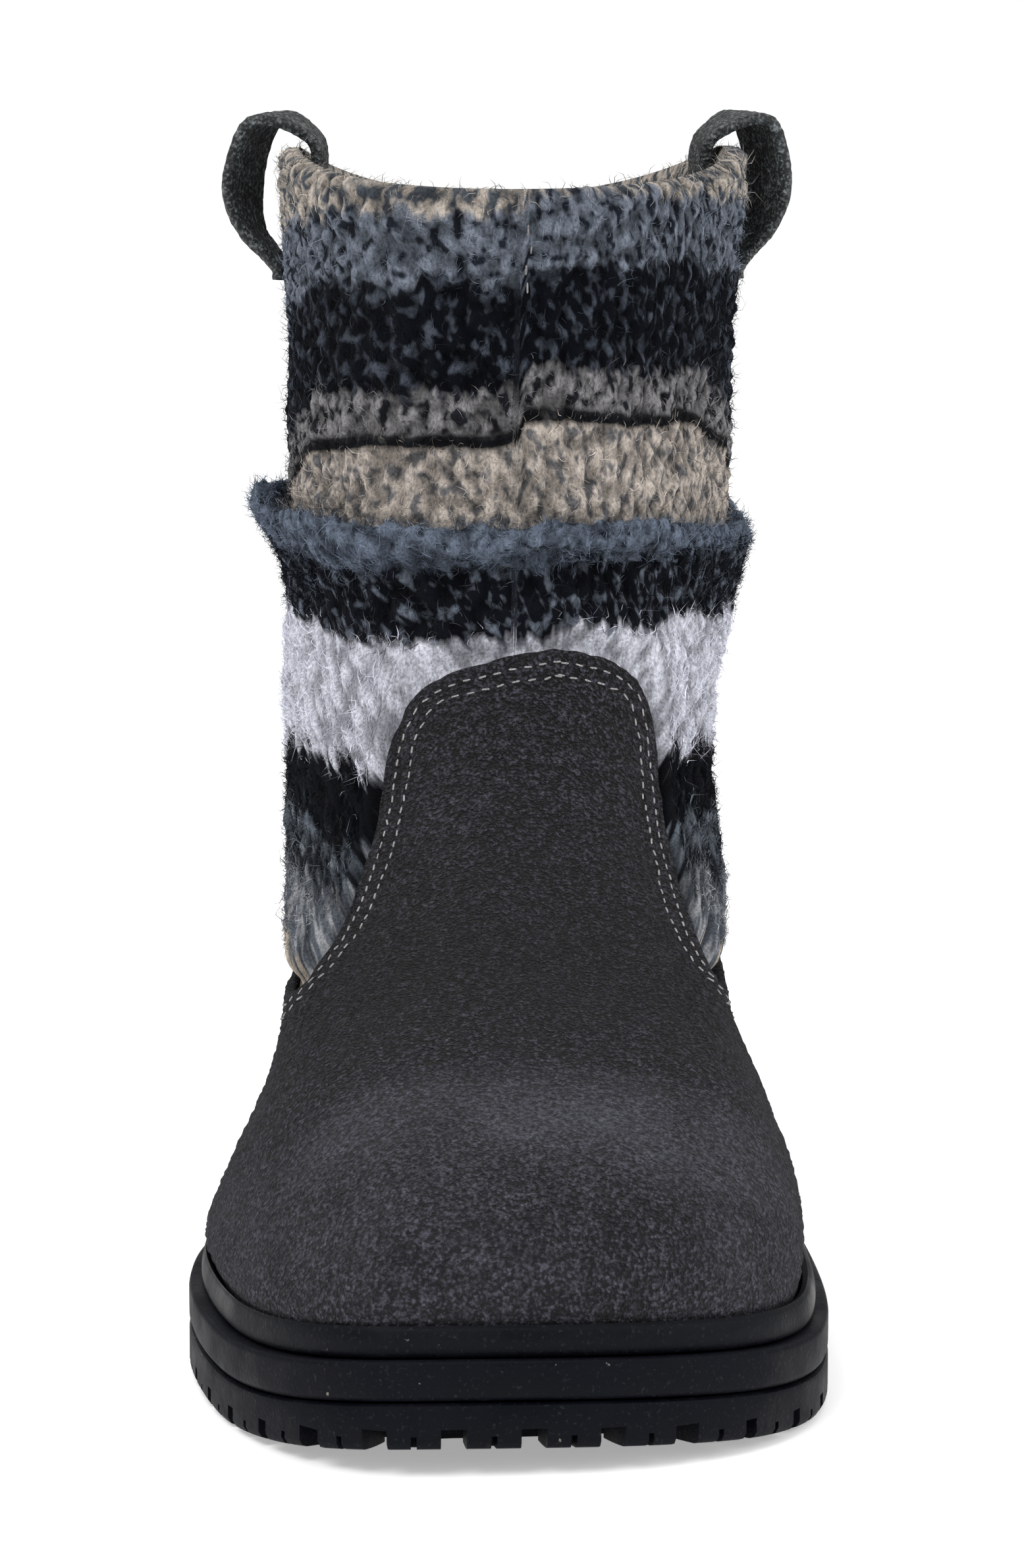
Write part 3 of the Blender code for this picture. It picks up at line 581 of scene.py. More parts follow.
STRIPE_LOW, STRIPE_HIGH = 0.025, 0.225
STRIPE_BLUR = 0.0006


def stripe_stops(column, alpha):
    """Ramp stops that hold each stripe's colour and change it over a short blur."""
    stops = []
    for i, stripe in enumerate(STRIPES):
        start = stripe[0] + (STRIPE_BLUR if i else -0.004)
        end = (STRIPES[i + 1][0] if i + 1 < len(STRIPES) else 0.215) - STRIPE_BLUR
        for at in (start, end):
            share = (at - STRIPE_LOW) / (STRIPE_HIGH - STRIPE_LOW)
            stops.append((share, stripe[column], stripe[3] if alpha else 1.0))
    return stops


def knit_surface(name, strand):
    """Brushed striped wool. The chart mark runs up the cloth and the wale mark round it."""
    made, tree, shader = new_surface(name, 1.0, 0.0 if strand else 0.02, 0.03)
    chart = mark(tree, "chart")
    wale = mark(tree, "wale")
    courses = maths(tree, "MULTIPLY", chart, 1 / COURSE_HEIGHT)
    stitch = add(tree, "CombineXYZ", {"X": wale, "Y": courses, "Z": 0.0}).outputs[0]
    tufts = stretched(tree, stitch, (1.15, 0.55, 1.0))
    ragged = spread(tree, noise(tree, tufts, 1.0, 2, 0.6), 0.25, 0.75, -0.0036, 0.0036)
    from_thin_line = maths(tree, "ABSOLUTE", maths(tree, "SUBTRACT", chart, THIN_LINE))
    calm = spread(tree, from_thin_line, 0.002, 0.008, 0.22, 1.0)
    ragged = maths(tree, "MULTIPLY", ragged, calm)
    ragged = maths(tree, "MULTIPLY", ragged, spread(tree, chart, 0.085, 0.100, 1.0, 0.62))
    drift = spread(tree, noise(tree, stitch, 0.16, 1, 0.5), 0.25, 0.75, -0.0014, 0.0014)
    level = maths(tree, "ADD", chart, maths(tree, "ADD", ragged, drift))
    level = spread(tree, level, STRIPE_LOW, STRIPE_HIGH)
    base = ramp(tree, level, stripe_stops(1, False))
    fleck = ramp(tree, level, stripe_stops(2, True))
    slits = stretched(tree, stitch, (2.1, 2.3, 1.0), (31.0, 7.0, 0))
    fleckness = noise(tree, slits, 1.0, 1.5, 0.5)
    threshold = maths(tree, "SUBTRACT", 0.80, maths(tree, "MULTIPLY", fleck.outputs["Alpha"], 0.62))
    over = maths(tree, "MULTIPLY", maths(tree, "SUBTRACT", fleckness, threshold), 6.5)
    share = add(tree, "Clamp", {"Value": maths(tree, "ADD", over, 0.5)}).outputs[0]
    colour = mixed(tree, share, base.outputs["Color"], fleck.outputs["Color"])
    # Painted shade: the colour is darker where the tufts' relief is low, between the ribs and the tufts.
    high = spread(tree, mark(tree, "tuft"), 0.0, 0.75, 0.42, 1.0)
    colour = dimmed(tree, colour, high)
    if strand:
        colour = dimmed(tree, colour, mark(tree, "tone"))
    else:
        wool = noise(tree, stretched(tree, place(tree), (2100, 2100, 1300)), 1.0, 3, 0.65)
        colour = mixed(tree, spread(tree, wool, 0.30, 0.60, 0.60, 0.0), colour, (0.004, 0.004, 0.005, 1))
        bump(tree, shader, wool, 0.0006, 0.8)
    tree.links.new(colour, shader.inputs["Base Color"])
    return made


def rubber_surface(name, colour, roughness):
    """Matte moulded rubber: faint mottling, dust and a few pale specks."""
    made, tree, shader = new_surface(name, roughness, 0.0, 0.10)
    where = place(tree)
    cloudy = noise(tree, where, 90, 4, 0.6)
    dust = noise(tree, where, 1500, 2, 0.6)
    specks = noise(tree, where, 620, 2, 0.5)
    paler = tuple(0.003 + 1.4 * c for c in colour)
    shade = mixed(tree, spread(tree, cloudy, 0.40, 0.72, 0.0, 0.75), (*colour, 1), (*paler, 1))
    shade = mixed(tree, spread(tree, dust, 0.60, 0.80, 0.0, 0.35), shade, (0.055, 0.060, 0.072, 1))
    shade = mixed(tree, spread(tree, specks, 0.765, 0.80, 0.0, 0.6), shade, (0.30, 0.29, 0.27, 1))
    tree.links.new(shade, shader.inputs["Base Color"])
    scuffed = spread(tree, cloudy, 0.35, 0.70, roughness - 0.08, roughness + 0.16)
    tree.links.new(scuffed, shader.inputs["Roughness"])
    relief = maths(tree, "ADD", maths(tree, "MULTIPLY", dust, 0.35), maths(tree, "MULTIPLY", cloudy, 0.9))
    bump(tree, shader, relief, 0.0005, 0.5)
    return made


def felt_surface(name, colour):
    """Matted fibres pressed flat."""
    made, tree, shader = new_surface(name, 0.98, 0.3, 0.1)
    where = place(tree)
    matted = noise(tree, where, 700, 4, 0.7)
    cloudy = noise(tree, where, 60, 3, 0.5)
    darker = tuple(0.55 * c for c in colour)
    shade = mixed(tree, spread(tree, matted, 0.35, 0.65), (*darker, 1), (*colour, 1))
    shade = mixed(tree, spread(tree, cloudy, 0.40, 0.70, 0.0, 0.3), shade, (*darker, 1))
    tree.links.new(shade, shader.inputs["Base Color"])
    bump(tree, shader, matted, 0.0010, 0.8)
    return made


def thread_surface(name, colour):
    """Waxed sewing thread: twisted plies, darker where the twist's relief is low, and darker patches."""
    made, tree, shader = new_surface(name, 0.75, 0.2, 0.3)
    where = place(tree)
    twist = noise(tree, where, 3600, 2, 0.5)
    worn = noise(tree, where, 120, 3, 0.6)
    darker = tuple(0.42 * c for c in colour)
    shade = mixed(tree, spread(tree, twist, 0.35, 0.60), (*darker, 1), (*colour, 1))
    shade = mixed(tree, spread(tree, worn, 0.45, 0.70, 0.0, 0.5), shade, (*darker, 1))
    tree.links.new(shade, shader.inputs["Base Color"])
    bump(tree, shader, twist, 0.0003, 0.6)
    return made


def dressed(piece, node):
    """A piece that stands for a CAD node: attached to the root, with the node hidden."""
    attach(piece, "root")
    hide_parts(node)
    return piece


def resampled(profile, rows):
    """The same profile at this many rows, evenly spaced along its mean length."""
    fine = spline(profile, False, 10)
    steps = np.linalg.norm(np.diff(fine, axis=0), axis=-1).mean(axis=1)
    length = np.concatenate([[0], np.cumsum(steps)])
    at = np.interp(np.linspace(0, length[-1], rows), length, np.arange(len(fine)))
    low = np.minimum(at.astype(int), len(fine) - 2)
    share = (at - low)[:, None, None]
    return fine[low] * (1 - share) + fine[low + 1] * share


def knit_profile(around):
    """The knit's control rings: height above the floor, and how far out of the form each point stands."""
    edge = suede_edge(around)
    edge_point = form(around, edge)
    edge_z = edge_point[:, 2]
    stretch = edge_stretch(around)
    lap_z = edge_z - SEAM_LAP * stretch
    lip = fold_lip(around)
    valley = lip - FOLD_DEPTH
    rim = collar_height(around)
    tucked = -(SUEDE + 2 * GAP)
    reach = FOLD_REACH * (1 - FOLD_LEAN * np.sin(2 * math.pi * around))
    one = np.ones_like(around)
    step = edge_z + 2 * SUEDE * stretch
    outer = [(lap_z, tucked * one), (edge_z, tucked * one), (edge_z + 0.8 * SUEDE * stretch, tucked * one)]
    outer.append((step, 0.35 * KNIT_PUFF * one))
    under_lip = lip - FOLD[0][1] * FOLD_DEPTH
    outer += [(step + level * (under_lip - step), puff * KNIT_PUFF * one) for level, puff in KNIT_PUFFS]
    outer += [(lip - down * FOLD_DEPTH, out * reach) for out, down in FOLD]
    outer += [(valley + level * (rim - valley), puff * KNIT_PUFF * one) for level, puff in TUBE_PUFFS]
    outer.append((rim - 0.25 * COLLAR_HEM, -0.02 * COLLAR_HEM * one))
    outer.append((rim, -0.33 * COLLAR_HEM * one))
    inner = [(rim, -0.72 * COLLAR_HEM * one), (rim - 0.28 * COLLAR_HEM, -COLLAR_HEM * one)]
    inner.append((rim - 2.2 * COLLAR_HEM, -COLLAR_HEM * one))
    inner += [(rim - level * (rim - edge_z), -KNIT * one) for level in (0.30, 0.52, 0.76)]
    inner += [(z, (tucked - KNIT) * one) for z in (edge_z, lap_z)]
    return tuple(np.array([np.column_stack(ring) for ring in rings]) for rings in (outer, inner))


def knit_cloth():
    """The knit as a grid of outer points with their normals and marks, and its inner rings."""
    around = np.arange(KNIT_COLUMNS) / KNIT_COLUMNS
    outer, inner = knit_profile(around)
    outer_rows = resampled(outer, CLOTH_ROWS)
    inner_rows = resampled(inner, LINING_ROWS)
    edge_y = form(around, suede_edge(around))[:, 1]

    def laid(rows):
        points = []
        for row in rows:
            height = height_of(row[:, 0], edge_y)
            points.append(form(around, height) + outward(around, height) * row[:, 1:2])
        return np.array(points)

    points = laid(outer_rows)
    lining = laid(inner_rows)
    level = outer_rows[:, :, 0]
    rise = np.abs(np.diff(level, axis=0, prepend=level[:1]))
    falling = (np.diff(level, axis=0) < 0) & (level[:-1] > fold_lip(around) - 0.003)
    rim_side = np.arange(len(level))[:, None] > np.argmax(falling, axis=0)
    chart = np.where(rim_side, fold_lip(around) + np.cumsum(rise * rim_side, axis=0), level)
    valley_chart = fold_lip(around) + FOLD_DEPTH
    side = (around - SEAM_PLACE + 0.5) % 1 - 0.5
    sharp_side = np.where(side > 0, 1.0, 0.0) * (1 - smooth_step(side, 0.25, 0.5))
    soft_side = smooth_step(side, -0.07, 0.05) * (1 - smooth_step(side, 0.25, 0.5))
    upper = smooth_step(chart, valley_chart - 0.004, valley_chart + 0.002)
    shift = SEAM_STEP * sharp_side * upper + 1.45 * SEAM_STEP * soft_side * (1 - upper)
    forward = np.clip(np.cos(2 * math.pi * side), 0, 1)
    above = np.interp(chart, (0.162, 0.1865), STRIPE_RISE_UPPER) * upper * (1 - forward)
    below = STRIPE_RISE_LOWER * (1 - smooth_step(chart, 0.085, 0.103)) * (1 - upper) * forward
    rising = above - below
    stripes = chart - shift + rising + FOLD_TILT * np.sin(2 * math.pi * around) * (1 - upper)
    slant = np.interp(chart, (0.03, 0.10, 0.13, 0.145, 0.21), (0.16, 0.26, 0.16, 0.04, 0.06)) / WALE_WIDTH
    wale = around * WALES + np.cumsum(slant * rise, axis=0)

    tuft_row = chart / TUFT_LENGTH + smooth_noise(11, wale, chart * 40, WALES) * 0.8
    tuft_row = tuft_row + np.floor(wale) % 2 * 0.5
    rib = np.abs(np.sin(math.pi * wale)) ** 0.8
    tuft = rib * (0.58 + 0.42 * np.sin(2 * math.pi * tuft_row))
    tuft += 0.55 * smooth_noise(12, wale * 1.6, chart / 0.0022, 4 * WALES)
    slouch = smooth_noise(13, around * 13, chart / 0.017, 13)
    slouch = slouch + 0.6 * smooth_noise(14, around * 31, chart / 0.008, 31)
    seam = np.exp(-((side * 0.31 / 0.0016) ** 2))[None] * smooth_step(chart, 0.080, 0.090)
    shown = smooth_step(np.arange(len(points)), 12, 18)[:, None]
    inner_side = smooth_step(-side, 0.14, 0.22) * (1 - smooth_step(-side, 0.36, 0.46))
    trim = 0.0016 * inner_side * smooth_step(chart, 0.085, 0.100) * (1 - 0.7 * upper)
    relief = TUFT_HEIGHT * (tuft - 0.45) + 0.0008 * slouch * (1 - 0.4 * upper) - 0.0005 * seam - 0.0004 - trim
    points = points + grid_normals(points) * (relief * shown)[..., None]
    return points, lining, stripes, wale, tuft


def knit_pieces():
    points, lining, stripes, wale, tuft = knit_cloth()
    rings = np.concatenate([points, lining])
    lining_stripes = stripes[-1:] - points[-1:, :, 2] + lining[:, :, 2]
    marks = {
        "chart": np.concatenate([stripes, lining_stripes]),
        "wale": np.concatenate([wale, np.repeat(wale[-1:], len(lining), axis=0)]),
        "tuft": np.concatenate([tuft, np.full(lining.shape[:2], 0.5)]),
    }
    cloth = mesh_object(
        "knit_shaft_cloth",
        rings.reshape(-1, 3),
        ring_faces(len(rings), KNIT_COLUMNS, True),
        knit_surface("brushed_knit", False),
        marks,
        180,
    )
    dressed(cloth, "knit_shaft")
    seam_stitching(points)
    wool = knit_surface("knit_fibres", True)
    over_rim = len(points) + 5
    for name, first, last, seed in (
        ("knit_fuzz_lower", FUZZ_START, FOLD_START, 21),
        ("knit_fuzz_fold", FOLD_START, TUBE_START, 22),
        ("knit_fuzz_upper", TUBE_START, over_rim, 23),
    ):
        rows = slice(first, last + 1)
        patch_marks = [marks[kind][rows] for kind in ("chart", "wale", "tuft")]
        fuzz = strands(name, rings[rows], *patch_marks, FIBRES, seed, wool)
        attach(fuzz, "root")


def strands(name, patch, stripes, wale, tuft, count, seed, surface):
    """Short tapered wool fibres that lie on this patch of the cloth, brushed up and slanted."""
    rng = np.random.default_rng(seed)
    across = np.roll(patch, -1, axis=1) - patch
    up = np.gradient(patch, axis=0)
    normal = grid_normals(patch)
    area = np.linalg.norm(across[:-1], axis=2) * np.linalg.norm(up[:-1], axis=2)
    cell = rng.choice(area.size, count, p=(area / area.sum()).ravel())
    row, column = np.unravel_index(cell, area.shape)
    s, t = rng.random((2, count))
    after = (column + 1) % patch.shape[1]

    def sampled(values):
        weight = (s, t) if values.ndim == 2 else (s[:, None], t[:, None])
        low = values[row, column] * (1 - weight[0]) + values[row, after] * weight[0]
        high = values[row + 1, column] * (1 - weight[0]) + values[row + 1, after] * weight[0]
        return low * (1 - weight[1]) + high * weight[1]

    root = sampled(patch)
    out = normal[row, column]
    side_way = across[row, column] / np.linalg.norm(across[row, column], axis=1)[:, None]
    rise_way = up[row, column] / np.linalg.norm(up[row, column], axis=1)[:, None]
    lean = rng.normal(-0.20, 1.0, count)
    downward = np.where(rng.random(count) < 0.35, -1.0, 1.0)
    heading = rise_way * (np.cos(lean) * downward)[:, None] + side_way * np.sin(lean)[:, None]
    stray = rng.random(count) < 0.03
    length = rng.uniform(*FIBRE_LENGTHS, count) * np.where(stray, 1.5, 1)
    lift = rng.uniform(*FIBRE_LIFTS, count) * np.where(stray, 2.0, 1)
    curl = np.cross(out, heading) * rng.normal(0, 0.55, count)[:, None]
    middle = root + heading * (0.5 * length)[:, None] + out * (0.9 * lift)[:, None]
    tip = root + (heading + curl) * length[:, None] + out * (rng.uniform(0.2, 1.6, count) * lift)[:, None]
    foot = root - out * 0.0002
    thick = rng.uniform(*FIBRE_RADII, count)[:, None]
    rings = []
    for centre, share in ((foot, 1.0), (middle, 0.8)):
        for turn in range(3):
            angle = 2 * math.pi * turn / 3
            spoke = np.cross(out, heading) * math.cos(angle) + out * math.sin(angle)
            rings.append(centre + spoke * thick * share)
    corners = np.stack([*rings, tip], axis=1)
    per = len(rings) + 1
    start = per * np.arange(count)[:, None]
    quads = np.concatenate([start + np.array(q) for q in ((0, 1, 4, 3), (1, 2, 5, 4), (2, 0, 3, 5))])
    tris = np.concatenate([start + np.array(q) for q in ((2, 1, 0), (3, 4, 6), (4, 5, 6), (5, 3, 6))])
    tone = rng.uniform(*FIBRE_TONES, count)
    blurred = sampled(stripes) + rng.normal(0, 0.0012, count)
    marks = {"chart": blurred, "wale": wale[row, column], "tone": tone, "tuft": sampled(tuft)}
    mesh = bpy.data.meshes.new(name)
    mesh.from_pydata((corners.reshape(-1, 3) + SHIFT).tolist(), [], quads.tolist() + tris.tolist())
    keep_marks(mesh, {key: np.repeat(values, per) for key, values in marks.items()})
    mesh.materials.append(surface)
    mesh.shade_smooth()
    return placed(name, mesh)


def suede_cloth():
    """Vamp and counter: a fine outer face up to a softly rounded cut edge, and the wall inside it."""
    around = np.arange(SUEDE_COLUMNS) / SUEDE_COLUMNS
    # Points stand closer at the toe, where the columns of the form are widest apart.
    around = around - 0.40 * np.sin(2 * math.pi * around) / (2 * math.pi)
    edge = suede_edge(around)
    edge_point = form(around, edge)
    outer = [form(around, edge * s) for s in np.linspace(0, 1, 112) ** 0.92]
    outer[-1] = edge_point - outward(around, edge) * 0.0004
    points = np.array(outer)
    normal = grid_normals(points)
    nap = smooth_noise(31, around * 250, np.linspace(0, 110, len(points))[:, None], 250)
    swell = smooth_noise(32, around * 17, np.linspace(0, 7, len(points))[:, None], 17)
    shown = smooth_step(np.arange(len(points)), 6, 12)[:, None]
    relief = (0.00026 * nap + 0.00035 * swell) * shown
    points = points + normal * relief[..., None]
    inner = []
    for share in (1.0, 0.985, 0.84, 0.66, 0.46, 0.27, 0.10):
        height = WELT_TOP + (edge - WELT_TOP) * share
        inset_by = SUEDE - (0.0004 if share == 1.0 else 0)
        inner.append(form(around, height) - outward(around, height) * inset_by)
    foot = form(around, 0)
    rim = inset(foot[:, :2], SUEDE)
    inner.append(np.column_stack([rim, deck(rim[:, 1]) + GAP]))
    rings = np.concatenate([points, np.array(inner)])
    flat = rings.reshape(-1, 3)
    # Rubbed places: over the toes, along the toe's front, on the flanks of the toe and at the heel
    wear_and_painted_shade = np.zeros(len(flat))
    for centre, spread_by, weight in (
        ((0.010, -0.106, 0.046), (0.036, 0.012, 0.012), 0.55),
        ((-0.018, -0.122, 0.034), (0.022, 0.020, 0.012), 0.28),
        ((-0.046, -0.090, 0.030), (0.016, 0.030, 0.012), 0.25),
        ((0.038, -0.118, 0.030), (0.016, 0.020, 0.012), 0.25),
        ((0.0, 0.130, 0.040), (0.030, 0.020, 0.016), 0.40),
    ):
        distance = ((flat - centre) / spread_by) ** 2
        wear_and_painted_shade = np.maximum(wear_and_painted_shade, weight * np.exp(-0.5 * distance.sum(axis=1)))
    # Painted shade: the vamp's slope, where the brushed nap looks dark, is painted darker by a value below
    # zero in the same mark.
    slope = ((flat - (0.0, -0.056, 0.058)) / (0.060, 0.024, 0.024)) ** 2
    wear_and_painted_shade = wear_and_painted_shade - 0.50 * np.exp(-0.5 * slope.sum(axis=1))
    surface = suede_surface("grey_suede", *GREY_SUEDE)
    faces = ring_faces(len(rings), SUEDE_COLUMNS, True)
    suede = mesh_object("suede_vamp_and_counter", flat, faces, surface, {"wear_and_painted_shade": wear_and_painted_shade}, 70)
    return dressed(suede, "suede_upper")


def capsules(name, centres, ways, outs, length, thick, surface):
    """Short rounded stitches at these places, along these ways."""
    shares = ((-0.5, 0.45), (-0.36, 1.0), (0.36, 1.0), (0.5, 0.45))
    sides = 6
    across = np.cross(ways, outs)
    rings = []
    for at, wide in shares:
        for i in range(sides):
            angle = 2 * math.pi * i / sides
            spoke = across * math.cos(angle) + outs * 0.8 * math.sin(angle)
            rings.append(centres + ways * at * length + spoke * wide * thick / 2)
    corners = np.stack(rings, axis=1)
    count = len(centres)
    per = sides * len(shares)
    start = per * np.arange(count)[:, None]
    faces = []
    for k in range(len(shares) - 1):
        for i in range(sides):
            j = (i + 1) % sides
            quad = (k * sides + i, k * sides + j, (k + 1) * sides + j, (k + 1) * sides + i)
            faces += (start + np.array(quad)).tolist()
    faces += (start + np.arange(sides)[::-1]).tolist()
    faces += (start + per - sides + np.arange(sides)).tolist()
    return mesh_object(name, corners.reshape(-1, 3), faces, surface, None, 180)


def arch_stitching(suede):
    """Two rows of stitches that follow the suede's top edge."""
    tree = BVHTree.FromObject(suede, bpy.context.evaluated_depsgraph_get())
    around = np.arange(4000) / 4000
    edge = form(around, suede_edge(around))
    out = outward(around, suede_edge(around))
    ahead = np.roll(edge, -1, axis=0) - np.roll(edge, 1, axis=0)
    ahead /= np.linalg.norm(ahead, axis=1)[:, None]
    inwards = np.cross(ahead, out)
    rng = np.random.default_rng(41)
    centres, ways, outs = [], [], []
    for row_distance in STITCH_ROWS:
        path = edge + inwards * row_distance
        ring = np.concatenate([path, path[:1]])
        length = np.concatenate([[0], np.cumsum(np.linalg.norm(np.diff(ring, axis=0), axis=1))])
        count = int(length[-1] / STITCH_PITCH)
        at = (np.arange(count) + 0.5) * length[-1] / count
        here = np.column_stack([np.interp(at, length, ring[:, i]) for i in range(3)])
        further = np.column_stack([np.interp(at + 0.0004, length, ring[:, i]) for i in range(3)])
        for point, beyond in zip(here, further):
            seat, normal, _, _ = tree.find_nearest(Vector(point + SHIFT))
            way = Vector(beyond - point).normalized()
            way = (way - normal * way.dot(normal)).normalized()
            way = (way + normal.cross(way) * rng.normal(0, 0.10)).normalized()
            centres.append(np.array(seat) - SHIFT + np.array(normal) * 0.00008)
            ways.append(way)
            outs.append(normal)
    thread = thread_surface("pale_thread", (0.46, 0.43, 0.44))
    centres, ways, outs = np.array(centres), np.array(ways), np.array(outs)
    stitches = capsules("arch_stitching", centres, ways, outs, STITCH_LENGTH, STITCH_THICKNESS, thread)
    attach(stitches, "root")


def seam_stitching(points):
    """A few pale stitches that show in the knit's front seam under the collar."""
    column = round(SEAM_PLACE * KNIT_COLUMNS)
    path = points[:, column]
    high = np.flatnonzero((path[:, 2] > 0.170) & (np.arange(len(path)) > len(path) // 2))[::5][:4]
    ways = path[high + 1] - path[high - 1]
    ways /= np.linalg.norm(ways, axis=1)[:, None]
    outs = grid_normals(points)[high, column]
    rng = np.random.default_rng(61)
    centres = path[high] + outs * 0.0004 + np.cross(ways, outs) * rng.normal(0, 0.0003, (len(high), 1))
    thread = thread_surface("seam_thread", (0.40, 0.38, 0.37))
    stitches = capsules("collar_seam_stitching", centres, ways, outs, 0.0019, 0.00032, thread)
    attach(stitches, "root")


def even_columns(count):
    share = np.arange(count) / count
    return share - 0.25 * np.sin(2 * math.pi * share) / (2 * math.pi)


def welt_bead(surface):
    """The rounded rubber strip between the midsole and the suede."""
    around = even_columns(SOLE_COLUMNS)
    foot = form(around, 0)
    top = form(around, WELT_TOP)
    lying = outward(around, WELT_TOP)[:, :2]
    lying /= np.linalg.norm(lying, axis=1)[:, None]
    inner_foot = foot[:, :2] + lying * 1.3 * GAP
    inner_top = top[:, :2] + lying * 1.6 * GAP
    rim = inset(along(SOLE, around), WELT_LEDGE)
    height = top[:, 2] - foot[:, 2]
    corners = ((0.86, 0.0), (0.96, 0.06), (1.03, 0.24), (1.01, 0.58), (0.80, 0.86), (0.42, 1.0))
    profile = spline(corners, False, 4)
    rings = []
    for reach, rise in profile:
        base = inner_foot + (inner_top - inner_foot) * rise
        ring = base + (rim - base) * reach
        rings.append(np.column_stack([ring, deck(ring[:, 1]) + 1.3 * GAP + rise * height]))
    rings.append(np.column_stack([inner_top, foot[:, 2] + 0.97 * height]))
    rings.append(np.column_stack([inner_foot, deck(inner_foot[:, 1]) + 1.3 * GAP]))
    faces = ring_faces(len(rings), SOLE_COLUMNS, True)
    bead = mesh_object("welt_bead", np.concatenate(rings), faces, surface, None, 50)
    dressed(bead, "welt")


def plate(name, rings, surface, sharp=40):
    """A closed slab from rings that run from one cap to the other."""
    count = len(rings[0])
    faces = ring_faces(len(rings), count, False)
    faces += ladder_faces(0, count) + ladder_faces((len(rings) - 1) * count, count)
    return mesh_object(name, np.concatenate(rings), faces, surface, None, sharp)


def midsole_slab(surface):
    """The slab with its rounded upper and lower edges."""
    columns = along(SOLE, even_columns(SOLE_COLUMNS))
    top = deck(columns[:, 1])
    bottom = top - MIDSOLE_HEIGHT
    edge = 0.0008
    rings = []
    for inwards, z in (
        (1.4 * edge, bottom),
        (0.9 * edge, bottom + 0.15 * edge),
        (0.25 * edge, bottom + 0.9 * edge),
        (0.02 * edge, bottom + 1.6 * edge),
        (0.0, bottom + 3.5 * edge),
        (0.0, top - 1.1 * edge),
        (0.08 * edge, top - 0.6 * edge),
        (0.35 * edge, top - 0.25 * edge),
        (0.75 * edge, top - 0.06 * edge),
        (1.2 * edge, top),
        (FEATHER_INSET + 2 * SUEDE, top),
    ):
        ring = inset(columns, inwards)
        if inwards > 0.002:
            z = deck(ring[:, 1])
        rings.append(np.column_stack([ring, z]))
    slab = plate("midsole_slab", rings, surface)
    dressed(slab, "midsole")


BOX_FACES = ((0, 3, 2, 1), (4, 5, 6, 7), (0, 1, 5, 4), (1, 2, 6, 5), (2, 3, 7, 6), (3, 0, 4, 7))


def box_points(middle, ahead, across, length, width, top, bottom):
    corners = []
    for z in (bottom, top):
        for a, b in ((-1, -1), (1, -1), (1, 1), (-1, 1)):
            x, y = middle + ahead * a * length / 2 + across * b * width / 2
            corners.append((x, y, z))
    return corners


def boxes_object(name, boxes):
    points = [corner for box in boxes for corner in box]
    faces = [tuple(8 * n + i for i in face) for n in range(len(boxes)) for face in BOX_FACES]
    return mesh_object(name, points, faces)


def arch_cutter():
    front, back = -0.045 * SOLE_LENGTH, 0.235 * SOLE_LENGTH
    span = back - ARCH_RAKE - front
    rise = [(front + span * s, ARCH_HEIGHT * (1.15 * math.sin(math.pi / 2 * min(1, s / 0.48)) ** 1.2 - 0.15))
            for s in (0.0, 0.06, 0.12, 0.18, 0.24, 0.30, 0.36, 0.42, 0.48, 0.85)]
    under = -0.5 * ARCH_HEIGHT
    profile = rise + [(back - ARCH_RAKE, 0.92 * ARCH_HEIGHT), (back, under), (front, under)]
    count = len(profile)
    points = [(side * BALL_WIDTH, y, z) for side in (-1, 1) for y, z in profile]
    faces = [tuple(range(count)), tuple(range(count, 2 * count))]
    faces += [(i, (i + 1) % count, count + (i + 1) % count, count + i) for i in range(count)]
    return mesh_object("arch_cutter", points, faces)


def groove_cutter():
    """A closed band that parts the rim lugs from the middle ones, on the source's own columns."""
    even = np.arange(SOURCE_COLUMNS) / SOURCE_COLUMNS
    forward = FRONT_CROWDING * np.sin(2 * math.pi * even) / (2 * math.pi)
    columns = along(SOLE, even - forward + SIDE_CROWDING * np.sin(4 * math.pi * even) / (4 * math.pi))
    outer, inner = inset(columns, LUG_LENGTH), inset(columns, LUG_LENGTH + TREAD_GROOVE)
    rings = []
    for edge, level in ((outer, -1), (outer, 1), (inner, 1), (inner, -1)):
        rings.append(np.column_stack([edge, toe_lift(edge[:, 1]) + level * 1.1 * TREAD_DEPTH]))
    return mesh_object("groove_cutter", np.concatenate(rings), ring_faces(4, len(columns), True))


def rim_cuts(name, count, phase, width_at, depth, reach):
    """Boxes in through the tread's rim at a steady pitch."""
    arch_front, arch_back = -0.055 * SOLE_LENGTH, 0.245 * SOLE_LENGTH
    boxes = []
    for i in range(count):
        share = (i + phase) / count
        here, ahead = along(SOLE, np.array([share, share + 0.002]))
        if arch_front < here[1] < arch_back:
            continue
        tangent = (ahead - here) / np.linalg.norm(ahead - here)
        inwards = np.array([-tangent[1], tangent[0]])
        middle = here + inwards * (reach / 2 - TREAD_DEPTH)
        top = toe_lift(here[1]) + depth
        boxes.append(box_points(middle, inwards, tangent, reach, width_at(here[1]), top, -TREAD_DEPTH))
    return boxes_object(name, boxes)


